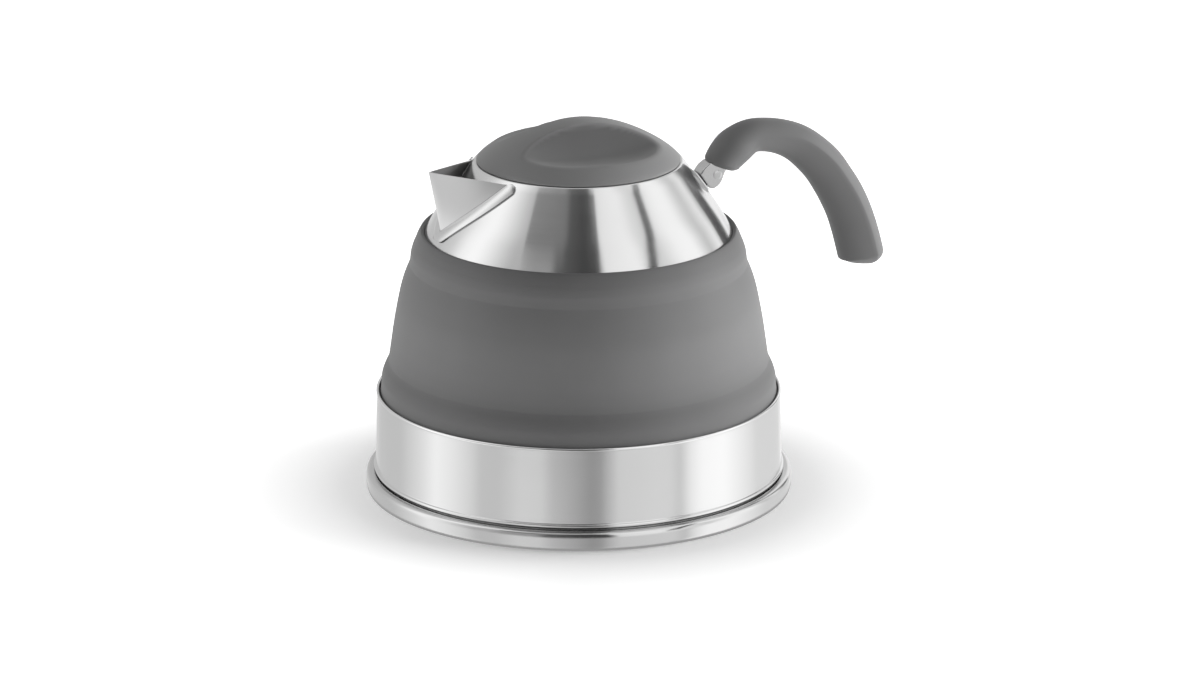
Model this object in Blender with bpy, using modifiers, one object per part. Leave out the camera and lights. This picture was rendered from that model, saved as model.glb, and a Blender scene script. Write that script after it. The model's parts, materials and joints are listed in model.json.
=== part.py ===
"""Collapsible kettle: a steel base cup and a steel shoulder joined by a silicone sleeve.

The origin is the centre of the flat underside, +Z is up, +X points to the handle and -X to the
spout. All sizes are in metres. The shoulder sinks into the base along Z while the sleeve's wall
turns inside out, and the lid pulls out of the neck along Z.
"""

import math

import bmesh
import bpy
from mathutils import Matrix, Vector

MM = 0.001

# Shared clearances and sheets
GAP = 0.3 * MM            # between pieces that touch on the real kettle
SHEET = 0.6 * MM          # steel of the cup, the cap and the shoulder
OVERRUN = 5 * MM          # how far a cutter runs past what it cuts
MERGE = 0.001 * MM        # points closer than this are one point
SEGMENTS = 40             # facets round a turned piece
SHARP = math.radians(32)  # edges steeper than this stay crisp

# Base
BASE_RADIUS = 95 * MM     # widest point of the foot bead
FOOT_ROUND = 1.8 * MM
CAP_HEIGHT = 10.1 * MM
CAP_SHOULDER = 3.2 * MM   # drop of the bead's rounded top
CAP_CROWN = 2.2 * MM      # width of the bead's rounded top
CAP_LIP = 1.2 * MM        # how far the cap's edge turns in from the crown
SPREADER_THICK = 3.5 * MM
SPREADER_CHAMFER = 0.8 * MM
CUP_CLEARANCE = 0.9 * MM  # between the cup's wall and the cap's edge
CUP_CORNER = 4 * MM
CUP_BEAD = 1.3 * MM       # radius of the bead rolled in the wall above the cap
CUP_TAPER = 1 * MM        # how far the wall leans in up to the rim
CUP_DEPTH = 40.4 * MM     # floor to rim, on the outside

# Silicone sleeve, outer surface, each stretch drawn in and risen from the one below it
SLEEVE_WALL = 2.2 * MM
SLEEVE_FOOT_DEPTH = 9 * MM    # how far the sleeve reaches down inside the cup's rim
LOWER_COLLAR_DRAW = 4.3 * MM
LOWER_COLLAR_RISE = 13.8 * MM
WALL_DRAW = 9.7 * MM
WALL_RISE = 44.4 * MM
UPPER_COLLAR_DRAW = 5.5 * MM
UPPER_COLLAR_RISE = 15.8 * MM
SLEEVE_LIP = 0.6 * MM         # how far the sleeve's top edge swells above its outer edge
SLEEVE_HOOK = 3 * MM          # how far the sleeve hooks inwards under the shoulder's skirt

# Clamp rings
CLAMP_TOP_INSET = 1 * MM      # the lower ring ends this far below the cup's rim
CLAMP_STEP = 1.2 * MM         # height of the step under the sleeve's foot
CLAMP_FOOT = 4.5 * MM         # height of the band welded to the cup
CLAMP_FLANGE = 3.4 * MM       # width of the upper ring's flange
CLAMP_RISE = 7.5 * MM         # the upper ring stands this far above the skirt's edge

# Shoulder
SKIRT_INSET = 3.6 * MM        # the skirt's edge inside the sleeve's upper crease
SKIRT_RISE = 3.2 * MM         # and above it
CONE_DRAW = 23.6 * MM
CONE_RISE = 41.4 * MM
CONE_REACH = 3.4 * MM         # half the height over which the cone's slope is read
RIM_ROLL_HALF = 1.75 * MM     # half the width of the rolled neck rim
RIM_ROLL_HEIGHT = 1.7 * MM
RIM_STEP = 0.4 * MM           # the roll's outer side inside the cone's upper edge
RIM_RISE = 2 * MM             # the neck rim above the cone's upper edge
NECK_DEPTH = 7.4 * MM         # straight wall of the neck
STRAINER_HOLE = 3.4 * MM
STRAINER_PITCH = 5.4 * MM
STRAINER_ROWS = 4
STRAINER_RISE = 25.5 * MM     # the lowest hole above the skirt's edge

# Spout
SPOUT_SHEET = 0.8 * MM
SPOUT_REACH = 23.9 * MM       # the tip beyond the cone's upper edge
SPOUT_KEEL_RISE = 18.8 * MM   # the keel's foot above the skirt's edge
SPOUT_MOUTH_DROP = 0.7 * MM   # the mouth's ends below the neck rim
SPOUT_TIP_LIFT = 3.5 * MM     # the tip above the mouth's ends
SPOUT_HALF_ANGLE = math.radians(24.1)
SPOUT_FLANGE = 5 * MM
SPOUT_FLANGE_SLANT = math.radians(34)
SPOUT_STEPS = 8
SPOUT_END_STEPS = 3           # round the flange's lower end

# Handle bracket: a foot on the cone, and a knuckle measured from the foot's lower edge
BRACKET_FOOT_SHEET = 1 * MM
BRACKET_FOOT_RISE = 22.1 * MM  # the foot's lower edge above the skirt's edge
BRACKET_FOOT_HEIGHT = 15 * MM
BRACKET_FOOT_ANGLE = math.radians(16)
BRACKET_FOOT_STEPS = 2
BRACKET_OUT = 14.2 * MM
BRACKET_WIDTH = 12 * MM
BRACKET_EDGE = 1 * MM
RIVET_OUT = 3 * MM
RIVET_UP = 7 * MM
RIVET_RADIUS = 1.5 * MM
RIVET_HEAD = 2.6 * MM
RIVET_HEAD_HEIGHT = 1 * MM

# Handle grip and core, measured from the bracket foot's lower edge
GRIP_MOUTH_OUT = 5.2 * MM
GRIP_REACH = 70.7 * MM        # mouth to lower end, along X
GRIP_RISE = 23.5 * MM         # the centre line's highest point above the foot
GRIP_DROP = 42.1 * MM         # the centre line's lower end below the foot
GRIP_HALF = 10.2 * MM         # half the thickness at the thickest place
GRIP_WIDTH_RATIO = 1.15       # width over thickness
GRIP_END_ROUND = 5 * MM
GRIP_MOUTH_ROUND = 1.2 * MM
CORE_ROOT_UP = 4.9 * MM
CORE_THICK = 3 * MM           # across the handle
CORE_HEIGHT = 6 * MM          # along the handle's plane
CORE_INSET = 10 * MM          # the core ends this far inside the grip

# Lid cover
LID_OVERHANG = 1.3 * MM       # the cover's edge beyond the neck's free radius
LID_BAND = 0.4 * MM           # upright band at the cover's edge
LID_RISE = 17.9 * MM
LID_POWER = 1.8
LID_ROUND = 0.85
COVER_WALL = 2.2 * MM
SCOOP_OFFSET = 20.9 * MM      # centre of each finger scoop from the axis
SCOOP_FLOOR = 4 * MM          # above the lid's edge
SCOOP_REACH = 38.1 * MM       # along the ridge, where the scoop has risen by SCOOP_END_RISE
SCOOP_END_RISE = 5 * MM
SCOOP_END_POWER = 2.57
RIDGE_REACH = 14.4 * MM       # towards the ridge, where the scoop has risen by RIDGE_RISE
RIDGE_RISE = 13 * MM
RIDGE_POWER = 3.46
LIP_REACH = 15.6 * MM         # towards the lid's edge, where it has risen by LIP_RISE
LIP_RISE = 2.5 * MM
LIP_POWER = 1.8
SCOOP_SOFTNESS = 1.5 * MM     # how softly the scoops' edges turn
LID_CELLS_ALONG = 14          # facets of the cover along the ridge and across it
LID_CELLS_ACROSS = 22
LID_CELL_CROWDING = 1.15      # draws the facets towards the ridge

# Lid plug: core, pan, seal and screw
PLUG_CLEARANCE = 0.8 * MM     # between the pan and the neck
PLUG_DEPTH = 11 * MM
PLUG_CORNER = 2.2 * MM
PLUG_GROOVE = 1.3 * MM
SEAL_HEIGHT = 3 * MM
SEAL_DROP = 2.4 * MM          # top of the seal below the neck rim
SEAL_ROUND = 0.7 * MM
CORE_DISC_INSET = 4 * MM      # the core's edge inside the cover's edge
RIB_HALF_WIDTH = 3.5 * MM
RIB_INSET = 14 * MM           # the rib's ends inside the cover's edge
RIB_STEPS = 8
BOSS_RADIUS = 5 * MM
SCREW_RADIUS = 2 * MM
SCREW_HEAD = 4 * MM
SCREW_HEAD_HEIGHT = 1.9 * MM
SCREW_HEAD_CHAMFER = 1 * MM
SCREW_LENGTH = 8 * MM

# Places worked out from the sizes above, from the floor up
CUP_FLOOR = SHEET + GAP + SPREADER_THICK + GAP
CUP_RADIUS = BASE_RADIUS - CAP_CROWN - CAP_LIP - CUP_CLEARANCE
RIM_RADIUS = CUP_RADIUS - CUP_TAPER
RIM_HEIGHT = CUP_FLOOR + CUP_DEPTH
CUP_MOUTH = RIM_RADIUS - SHEET - GAP
CLAMP_RADIUS = CUP_MOUTH - SLEEVE_WALL - GAP
SLEEVE_FOOT = RIM_HEIGHT - SLEEVE_FOOT_DEPTH
LOWER_CREASE_RADIUS = CUP_MOUTH - LOWER_COLLAR_DRAW
LOWER_CREASE_HEIGHT = RIM_HEIGHT + LOWER_COLLAR_RISE
UPPER_CREASE_RADIUS = LOWER_CREASE_RADIUS - WALL_DRAW
UPPER_CREASE_HEIGHT = LOWER_CREASE_HEIGHT + WALL_RISE
COLLAR_BOTTOM = UPPER_CREASE_HEIGHT + GAP / 2
SLEEVE_TOP_RADIUS = UPPER_CREASE_RADIUS - UPPER_COLLAR_DRAW
SLEEVE_TOP_HEIGHT = UPPER_CREASE_HEIGHT + UPPER_COLLAR_RISE
SKIRT_RADIUS = UPPER_CREASE_RADIUS - SKIRT_INSET
SKIRT_HEIGHT = UPPER_CREASE_HEIGHT + SKIRT_RISE
HOOK_RADIUS = SKIRT_RADIUS + GAP - SLEEVE_HOOK
CONE_TOP_RADIUS = SKIRT_RADIUS - CONE_DRAW
CONE_TOP_HEIGHT = SKIRT_HEIGHT + CONE_RISE
NECK_RADIUS = CONE_TOP_RADIUS - RIM_STEP - 2 * RIM_ROLL_HALF
NECK_RIM_HEIGHT = CONE_TOP_HEIGHT + RIM_RISE
LID_RADIUS = NECK_RADIUS + LID_OVERHANG
LID_EDGE = NECK_RIM_HEIGHT + GAP
CORE_TOP = LID_EDGE + SCOOP_FLOOR - COVER_WALL - GAP
PAN_TOP = LID_EDGE - GAP - SHEET
PAN_FLOOR = PAN_TOP - PLUG_DEPTH
PLUG_RADIUS = NECK_RADIUS - PLUG_CLEARANCE

# Outlines as shares: height first, then how far the radius has come
LOWER_COLLAR_SHARES = ((0, 0), (0.2, 0.13), (0.45, 0.33), (0.73, 0.77), (1, 1))
WALL_SHARES = ((0, 0), (0.27, 0.18), (0.51, 0.351), (0.7, 0.536), (0.86, 0.74), (1, 1))
UPPER_COLLAR_SHARES = ((0, 0), (0.29, 0.11), (0.5, 0.28), (0.7, 0.54), (1, 1))
CONE_SHARES = ((0, 0), (0.225, 0.288), (0.442, 0.564), (0.59, 0.725), (0.722, 0.852), (0.83, 0.935), (1, 1))
# The grip's centre line and thickness: reach, height and thickness shares
GRIP_SHARES = (
    (0, 0.806, 0.69), (0.025, 0.881, 0.725), (0.09, 0.951, 0.755), (0.2, 1, 0.7), (0.314, 0.995, 0.716),
    (0.427, 0.963, 0.76), (0.532, 0.905, 0.828), (0.624, 0.826, 0.882), (0.706, 0.735, 0.917),
    (0.772, 0.63, 0.936), (0.832, 0.523, 0.951), (0.885, 0.412, 0.965), (0.924, 0.296, 0.985),
    (0.958, 0.177, 1), (1, 0, 1),
)
# Where extra points stand in the grip's rounded ends, and how much of each rounding its flat end cuts off
END_STEP_SHARES = (0.06, 0.3, 0.62)
END_CUT_SHARE = 0.2
MOUTH_CUT_SHARE = 0.5
# The bracket's side outline: reach from its foot, and height up its foot
BRACKET_SHARES = ((-0.04, 0.05), (-0.55, 0.7), (-0.12, 0.856), (0.7, 0.597), (0.55, 0.27), (0.24, 0.045))
# The rivet's domed head: radius and height
RIVET_HEAD_SHARES = ((0, 1), (0.6, 0.9), (1, 0.35), (1, 0))


class Finish:
    """A colour, a roughness and a metallic value that several pieces share."""

    def __init__(self, name, colour, roughness, metallic):
        self.name = name
        self.colour = colour
        self.roughness = roughness
        self.metallic = metallic

    def material(self, piece):
        """A Principled material for one piece."""
        made = bpy.data.materials.new(f"{self.name}_{piece}")
        made.use_nodes = True
        shader = made.node_tree.nodes["Principled BSDF"]
        shader.inputs["Base Color"].default_value = (*self.colour, 1)
        shader.inputs["Roughness"].default_value = self.roughness
        shader.inputs["Metallic"].default_value = self.metallic
        made.diffuse_color = (*self.colour, 1)
        return made


STEEL = Finish("brushed_steel", (0.62, 0.62, 0.61), 0.28, 1)
POLISHED = Finish("polished_steel", (0.7, 0.7, 0.69), 0.16, 1)
ALUMINIUM = Finish("aluminium", (0.68, 0.69, 0.7), 0.4, 1)
SILICONE = Finish("silicone", (0.14, 0.14, 0.14), 0.55, 0)
NYLON = Finish("nylon", (0.06, 0.06, 0.065), 0.5, 0)


def clear_scene():
    """Remove what the scene holds."""
    for old in list(bpy.data.objects):
        bpy.data.objects.remove(old, do_unlink=True)


def new_collection(name):
    """An empty collection in the scene."""
    made = bpy.data.collections.new(name)
    bpy.context.scene.collection.children.link(made)
    return made


clear_scene()
PARTS = new_collection("collapsible_kettle")
CUTTERS = new_collection("cutters")


def arc(centre_r, centre_z, half_width, half_height, start, end, steps):
    """Points on an elliptic arc in the profile plane, angles in degrees."""
    points = []
    for step in range(steps + 1):
        angle = math.radians(start + (end - start) * step / steps)
        points.append((centre_r + half_width * math.cos(angle), centre_z + half_height * math.sin(angle)))
    return points


def between(low, high, shares):
    """Profile points from shares of the way between two (radius, height) points."""
    return [(low[0] + (high[0] - low[0]) * across, low[1] + (high[1] - low[1]) * up) for up, across in shares]


def cone_profile():
    """The shoulder's outer surface from the neck rim down to the skirt's edge."""
    top = (CONE_TOP_RADIUS, CONE_TOP_HEIGHT)
    return between(top, (SKIRT_RADIUS, SKIRT_HEIGHT), CONE_SHARES)


def cone_radius(height):
    """Radius of the shoulder's outer surface at a height."""
    points = cone_profile()
    if height >= points[0][1]:
        return points[0][0]
    for (r_high, z_high), (r_low, z_low) in zip(points, points[1:]):
        if height >= z_low:
            return r_low + (r_high - r_low) * (height - z_low) / (z_high - z_low)
    return points[-1][0]


def cone_tangent(height):
    """Unit direction up the shoulder's surface, as (outwards, upwards)."""
    drawn = cone_radius(height + CONE_REACH) - cone_radius(height - CONE_REACH)
    return Vector((drawn, 2 * CONE_REACH)).normalized()


def link(name, data, collection=PARTS):
    """An object for a mesh or curve, in one of the two collections."""
    made = bpy.data.objects.new(name, data)
    collection.objects.link(made)
    return made


def turned(name, profile, closed=False, start=0.0, sweep=2 * math.pi, steps=SEGMENTS):
    """A profile of (radius, height) points, outer side running down, turned about Z."""
    mesh = bpy.data.meshes.new(name)
    count = len(profile)
    edges = [(index, index + 1) for index in range(count - 1)]
    if closed:
        edges.append((count - 1, 0))
    points = [(radius * math.cos(start), radius * math.sin(start), height) for radius, height in profile]
    mesh.from_pydata(points, edges, [])
    made = link(name, mesh)
    screw = made.modifiers.new("turn", "SCREW")
    screw.angle = sweep
    screw.steps = steps
    screw.render_steps = steps
    screw.use_merge_vertices = True
    screw.merge_threshold = MERGE
    screw.use_smooth_shade = True
    return made


def wall(piece, thickness):
    """Give an open surface its wall, on the side away from its normals."""
    solidify = piece.modifiers.new("wall", "SOLIDIFY")
    solidify.thickness = thickness
    solidify.offset = -1
    solidify.use_even_offset = True
    return piece


def to_mesh(piece):
    """Replace a piece by the mesh that its curve and modifiers make."""
    bpy.context.view_layer.update()
    evaluated = piece.evaluated_get(bpy.context.evaluated_depsgraph_get())
    mesh = bpy.data.meshes.new_from_object(evaluated)
    mesh.transform(piece.matrix_world)
    sheet = bmesh.new()
    sheet.from_mesh(mesh)
    bmesh.ops.remove_doubles(sheet, verts=sheet.verts, dist=MERGE)
    sheet.to_mesh(mesh)
    sheet.free()
    name = piece.name
    collection = piece.users_collection[0]
    bpy.data.objects.remove(piece, do_unlink=True)
    mesh.name = name
    return link(name, mesh, collection)


def hide(cutter):
    """Mark a cutter or guide, which is no piece of the kettle."""
    cutter.hide_render = True
    cutter.display_type = "WIRE"
    return cutter


def combine(piece, other, operation):
    """Cut or join a piece with another, which becomes a hidden guide."""
    boolean = piece.modifiers.new(operation.lower(), "BOOLEAN")
    boolean.operation = operation
    boolean.solver = "EXACT"
    boolean.object = hide(other)
    return piece


def plate(name, outline, half_width, collection=PARTS):
    """A flat outline of (x, z) points in the plane of the handle, with its width along Y."""
    curve = bpy.data.curves.new(name, "CURVE")
    curve.dimensions = "2D"
    curve.fill_mode = "BOTH"
    curve.extrude = half_width
    spline = curve.splines.new("POLY")
    spline.points.add(len(outline) - 1)
    for point, (x, z) in zip(spline.points, outline):
        point.co = (x, z, 0, 1)
    spline.use_cyclic_u = True
    made = link(name, curve, collection)
    made.rotation_euler = (math.pi / 2, 0, 0)
    return to_mesh(made)


def rod(name, radius, low, high, collection=PARTS):
    """A cylinder along Z at the origin."""
    shape = bmesh.new()
    bmesh.ops.create_cone(shape, cap_ends=True, segments=SEGMENTS // 3, radius1=radius, radius2=radius,
                          depth=high - low)
    bmesh.ops.translate(shape, verts=shape.verts, vec=(0, 0, (low + high) / 2))
    mesh = bpy.data.meshes.new(name)
    shape.to_mesh(mesh)
    shape.free()
    return link(name, mesh, collection)


def dress(piece, finish):
    """Give a finished piece its material and smooth shading."""
    piece.data.materials.clear()
    piece.data.materials.append(finish.material(piece.name))
    piece.data.shade_smooth()
    piece.data.set_sharp_from_angle(angle=SHARP)
    return piece


def hang(pieces, empty_name, height):
    """Parent pieces to an empty on the sliding axis."""
    empty = bpy.data.objects.new(empty_name, None)
    empty.location = (0, 0, height)
    empty.empty_display_size = NECK_RADIUS
    PARTS.objects.link(empty)
    bpy.context.view_layer.update()
    for piece in pieces:
        piece.parent = empty
        piece.matrix_parent_inverse = empty.matrix_world.inverted()


# Base: cap, heat spreader, cup and lower clamp ring
def make_base():
    """The pressed cap with its foot bead, the disc above it, the drawn cup and the ring in its rim."""
    crown_r = BASE_RADIUS - CAP_CROWN
    cap = [(crown_r - CAP_LIP, CAP_HEIGHT)]
    cap += arc(crown_r, CAP_HEIGHT - CAP_SHOULDER, CAP_CROWN, CAP_SHOULDER, 90, 0, 3)
    cap += arc(BASE_RADIUS - FOOT_ROUND, FOOT_ROUND, FOOT_ROUND, FOOT_ROUND, 0, -90, 2)
    cap.append((0, 0))
    base_cap = wall(turned("base_cap", cap), SHEET)

    flat_r = CUP_RADIUS - CUP_CORNER
    low = SHEET + GAP
    top = low + SPREADER_THICK
    disc = [(0, top), (flat_r - SPREADER_CHAMFER, top), (flat_r, top - SPREADER_CHAMFER),
            (flat_r, low + SPREADER_CHAMFER), (flat_r - SPREADER_CHAMFER, low), (0, low)]
    spreader = turned("heat_spreader", disc)

    bead_z = CAP_HEIGHT + GAP + CUP_BEAD
    cup = [(RIM_RADIUS, RIM_HEIGHT), (CUP_RADIUS, bead_z + CUP_BEAD)]
    cup += arc(CUP_RADIUS, bead_z, CUP_BEAD, CUP_BEAD, 60, -90, 3)
    cup += arc(flat_r, CUP_FLOOR + CUP_CORNER, CUP_CORNER, CUP_CORNER, 0, -90, 2)
    cup.append((0, CUP_FLOOR))
    base_cup = wall(turned("base_cup", cup), SHEET)

    step_top = SLEEVE_FOOT - GAP
    ring = [(CLAMP_RADIUS, RIM_HEIGHT - CLAMP_TOP_INSET), (CLAMP_RADIUS, step_top),
            (CUP_MOUTH, step_top - CLAMP_STEP), (CUP_MOUTH, step_top - CLAMP_STEP - CLAMP_FOOT)]
    clamp = wall(turned("lower_clamp_ring", ring), SHEET)

    dress(base_cap, POLISHED)
    dress(spreader, ALUMINIUM)
    dress(base_cup, STEEL)
    dress(clamp, STEEL)
    return [base_cap, spreader, base_cup, clamp]


# Sleeve: one silicone moulding in three stretches
def make_sleeve():
    """The collar held in the cup, the wall that turns inside out and the collar held on the shoulder."""
    lower = (LOWER_CREASE_RADIUS, LOWER_CREASE_HEIGHT)
    upper = (UPPER_CREASE_RADIUS, UPPER_CREASE_HEIGHT)
    half_gap = GAP / 2

    collar = between((CUP_MOUTH, RIM_HEIGHT), lower, LOWER_COLLAR_SHARES)
    collar[-1] = (collar[-1][0], collar[-1][1] - half_gap)
    collar = [(CUP_MOUTH, SLEEVE_FOOT)] + collar
    lower_collar = wall(turned("sleeve_lower_collar", collar[::-1]), SLEEVE_WALL)

    side = between(lower, upper, WALL_SHARES)
    side[0] = (side[0][0], side[0][1] + half_gap)
    side[-1] = (side[-1][0], side[-1][1] - half_gap)
    side_wall = wall(turned("sleeve_wall", side[::-1]), SLEEVE_WALL)

    outer = between(upper, (SLEEVE_TOP_RADIUS, SLEEVE_TOP_HEIGHT), UPPER_COLLAR_SHARES)
    outer[0] = (outer[0][0], COLLAR_BOTTOM)
    ring = outer[::-1]
    ring.append((HOOK_RADIUS, COLLAR_BOTTOM))
    ring.append((HOOK_RADIUS, SKIRT_HEIGHT - GAP))
    ring.append((SKIRT_RADIUS + GAP, SKIRT_HEIGHT - GAP))
    for radius, height in reversed(cone_profile()):
        if height < SLEEVE_TOP_HEIGHT:
            ring.append((radius + GAP, height))
    top_r = cone_radius(SLEEVE_TOP_HEIGHT) + GAP
    ring.append((top_r, SLEEVE_TOP_HEIGHT))
    ring.append(((top_r + SLEEVE_TOP_RADIUS) / 2, SLEEVE_TOP_HEIGHT + SLEEVE_LIP))
    upper_collar = turned("sleeve_upper_collar", ring, closed=True)

    for piece in (lower_collar, side_wall, upper_collar):
        dress(piece, SILICONE)
    return [lower_collar, side_wall], [upper_collar]


# Shoulder: cone with its neck and strainer, and the upper clamp ring
def strainer_cutter():
    """Rods square to the cone, in a triangle behind the spout."""
    shape = bmesh.new()
    lowest = SKIRT_HEIGHT + STRAINER_RISE
    row_rise = STRAINER_PITCH * math.sin(math.radians(60)) * cone_tangent(lowest).y
    for row in range(STRAINER_ROWS):
        height = lowest + row * row_rise
        radius = cone_radius(height)
        slope = cone_tangent(height)
        for place in range(row + 1):
            turn = (place - row / 2) * STRAINER_PITCH / radius
            outward = Vector((-math.cos(turn), math.sin(turn), 0))
            normal = outward * slope.y - Vector((0, 0, slope.x))
            centre = outward * radius + Vector((0, 0, height))
            aim = normal.to_track_quat("Z", "Y").to_matrix().to_4x4()
            bmesh.ops.create_cone(shape, cap_ends=True, segments=8, radius1=STRAINER_HOLE / 2,
                                  radius2=STRAINER_HOLE / 2, depth=OVERRUN,
                                  matrix=Matrix.Translation(centre) @ aim)
    mesh = bpy.data.meshes.new("strainer_holes")
    shape.to_mesh(mesh)
    shape.free()
    return link("strainer_holes", mesh, CUTTERS)


def make_shoulder():
    """The cone with its rolled neck rim and strainer holes, and the ring inside its skirt."""
    roll_r = NECK_RADIUS + RIM_ROLL_HALF
    roll_z = NECK_RIM_HEIGHT - RIM_ROLL_HEIGHT
    profile = [(NECK_RADIUS, roll_z - NECK_DEPTH)]
    profile += arc(roll_r, roll_z, RIM_ROLL_HALF, RIM_ROLL_HEIGHT, 180, 20, 4)
    profile += cone_profile()
    cone = wall(turned("shoulder_cone", profile), SHEET)
    combine(cone, strainer_cutter(), "DIFFERENCE")

    flange_z = COLLAR_BOTTOM - GAP
    ring_r = HOOK_RADIUS - GAP
    ring = [(ring_r, SKIRT_HEIGHT + CLAMP_RISE), (ring_r, flange_z), (ring_r + CLAMP_FLANGE, flange_z)]
    clamp = wall(turned("upper_clamp_ring", ring), SHEET)
    dress(cone, STEEL)
    dress(clamp, STEEL)
    return [cone, clamp]


# Spout: a folded V with a flange that lies on the cone
def on_cone(turn, height, lift):
    """A point above the cone on the spout's side, turned from the spout's plane."""
    slope = cone_tangent(height)
    outward = Vector((-math.cos(turn), math.sin(turn), 0))
    normal = outward * slope.y - Vector((0, 0, slope.x))
    return outward * cone_radius(height) + Vector((0, 0, height)) + normal * lift


def beside(turn, height, slant, width, lift):
    """A point on the cone at a distance from another, down a slant from the level direction."""
    slope = cone_tangent(height)
    down = width * math.sin(slant)
    aside = width * math.cos(slant)
    return on_cone(turn + aside / cone_radius(height), height - down * slope.y, lift)


def make_spout():
    """Half the spout as rows from the keel to the flange's edge, mirrored."""
    lift = GAP + SPOUT_SHEET
    keel_height = SKIRT_HEIGHT + SPOUT_KEEL_RISE
    mouth_height = NECK_RIM_HEIGHT - SPOUT_MOUTH_DROP
    keel_low = on_cone(0, keel_height, lift)
    tip = Vector((-CONE_TOP_RADIUS - SPOUT_REACH, 0, mouth_height + SPOUT_TIP_LIFT))
    stations = []
    for step in range(SPOUT_END_STEPS + 1):
        stations.append((0, math.pi / 2 + (SPOUT_FLANGE_SLANT - math.pi / 2) * step / SPOUT_END_STEPS))
    for step in range(1, SPOUT_STEPS + 1):
        stations.append((step / SPOUT_STEPS, SPOUT_FLANGE_SLANT))
    shape = bmesh.new()
    rows = []
    for share, slant in stations:
        turn = SPOUT_HALF_ANGLE * share
        height = keel_height + (mouth_height - keel_height) * share
        keel = keel_low.lerp(tip, share)
        joint = on_cone(turn, height, lift)
        edge = beside(turn, height, slant, SPOUT_FLANGE, lift)
        if slant == math.pi / 2:
            edge.y = 0
        rows.append([shape.verts.new(point) for point in (keel, joint, edge)])
    for low, high in zip(rows, rows[1:]):
        for column in range(2):
            shape.faces.new((low[column], high[column], high[column + 1], low[column + 1]))
    bmesh.ops.remove_doubles(shape, verts=shape.verts, dist=MERGE)
    bmesh.ops.recalc_face_normals(shape, faces=shape.faces)
    lowest = min(shape.faces, key=lambda face: face.calc_center_median().z)
    if lowest.normal.x > 0:
        bmesh.ops.reverse_faces(shape, faces=shape.faces)
    mesh = bpy.data.meshes.new("spout")
    shape.to_mesh(mesh)
    shape.free()
    spout = link("spout", mesh)
    mirror = spout.modifiers.new("other_half", "MIRROR")
    mirror.use_axis = (False, True, False)
    mirror.merge_threshold = MERGE
    wall(spout, SPOUT_SHEET)
    return dress(spout, POLISHED)


# Handle: grip, core, bracket and rivet
def foot_profile():
    """The bracket foot's outer face from top to bottom, which the handle is measured from."""
    points = []
    for step in range(BRACKET_FOOT_STEPS + 1):
        up = BRACKET_FOOT_RISE + BRACKET_FOOT_HEIGHT * (1 - step / BRACKET_FOOT_STEPS)
        slope = cone_tangent(SKIRT_HEIGHT + up)
        lift = GAP + BRACKET_FOOT_SHEET
        points.append((cone_radius(SKIRT_HEIGHT + up) + slope.y * lift, SKIRT_HEIGHT + up - slope.x * lift))
    return points


def spline_through(points, steps):
    """Catmull-Rom points through the given ones, each a tuple of numbers."""
    ends = [points[0]] + list(points) + [points[-1]]
    out = []
    for before, start, end, after in zip(ends, ends[1:], ends[2:], ends[3:]):
        for step in range(steps):
            t = step / steps
            point = []
            for a, b, c, d in zip(before, start, end, after):
                square = (2 * a - 5 * b + 4 * c - d) * t ** 2
                cube = (3 * b - a - 3 * c + d) * t ** 3
                point.append((2 * b + (c - a) * t + square + cube) / 2)
            out.append(tuple(point))
    out.append(tuple(points[-1]))
    return out


def grip_line():
    """The grip's centre line as (x, z, half thickness), mouth to lower end."""
    foot_x, foot_z = foot_profile()[-1]
    rise = GRIP_RISE + GRIP_DROP
    points = []
    for across, up, thick in GRIP_SHARES:
        x = foot_x + GRIP_MOUTH_OUT + GRIP_REACH * across
        points.append((x, foot_z - GRIP_DROP + rise * up, GRIP_HALF * thick))
    return spline_through(points, 2)


def travelled(points):
    """Distance along a line at each of its points."""
    along = [0.0]
    for (x0, z0, *_), (x1, z1, *_) in zip(points, points[1:]):
        along.append(along[-1] + math.hypot(x1 - x0, z1 - z0))
    return along


def rounded_end(distance, reach, cut_share):
    """Share of the full thickness at a distance from an end that is rounded and then cut flat."""
    left = (1 - cut_share) * max(1 - distance / reach, 0)
    return math.sqrt(1 - left ** 2)


def end_steps(points, reach, first):
    """The line with extra points near one end, where its end is rounded."""
    along = travelled(points)
    total = along[-1]
    marks = [reach * share for share in END_STEP_SHARES]
    wanted = sorted(marks if first else [total - mark for mark in marks])
    merged = [(distance, point) for distance, point in zip(along, points)]
    keep = [item for item in merged if (item[0] >= reach if first else item[0] <= total - reach)]
    extra = []
    for distance in wanted:
        for (d0, p0), (d1, p1) in zip(merged, merged[1:]):
            if d0 <= distance <= d1:
                t = (distance - d0) / (d1 - d0)
                extra.append((distance, tuple(a + (b - a) * t for a, b in zip(p0, p1))))
                break
    return [point for _, point in sorted(keep + extra)]


def make_grip(core_cutter):
    """The silicone grip, a tapering tube along its centre line with the core's slot in it."""
    line = end_steps(end_steps(grip_line(), GRIP_END_ROUND, False), GRIP_MOUTH_ROUND, True)
    along = travelled(line)
    total = along[-1]
    curve = bpy.data.curves.new("handle_grip", "CURVE")
    curve.dimensions = "3D"
    curve.bevel_depth = GRIP_HALF
    curve.bevel_resolution = 5
    curve.use_fill_caps = True
    spline = curve.splines.new("POLY")
    spline.points.add(len(line) - 1)
    for point, (x, z, half), distance in zip(spline.points, line, along):
        point.co = (x, 0, z, 1)
        mouth = rounded_end(distance, GRIP_MOUTH_ROUND, MOUTH_CUT_SHARE)
        end = rounded_end(total - distance, GRIP_END_ROUND, END_CUT_SHARE)
        point.radius = half / GRIP_HALF * mouth * end
    grip = link("handle_grip", curve)
    grip.scale = (1, GRIP_WIDTH_RATIO, 1)
    grip = to_mesh(grip)
    combine(grip, core_cutter, "DIFFERENCE")
    return dress(grip, SILICONE)


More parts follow.
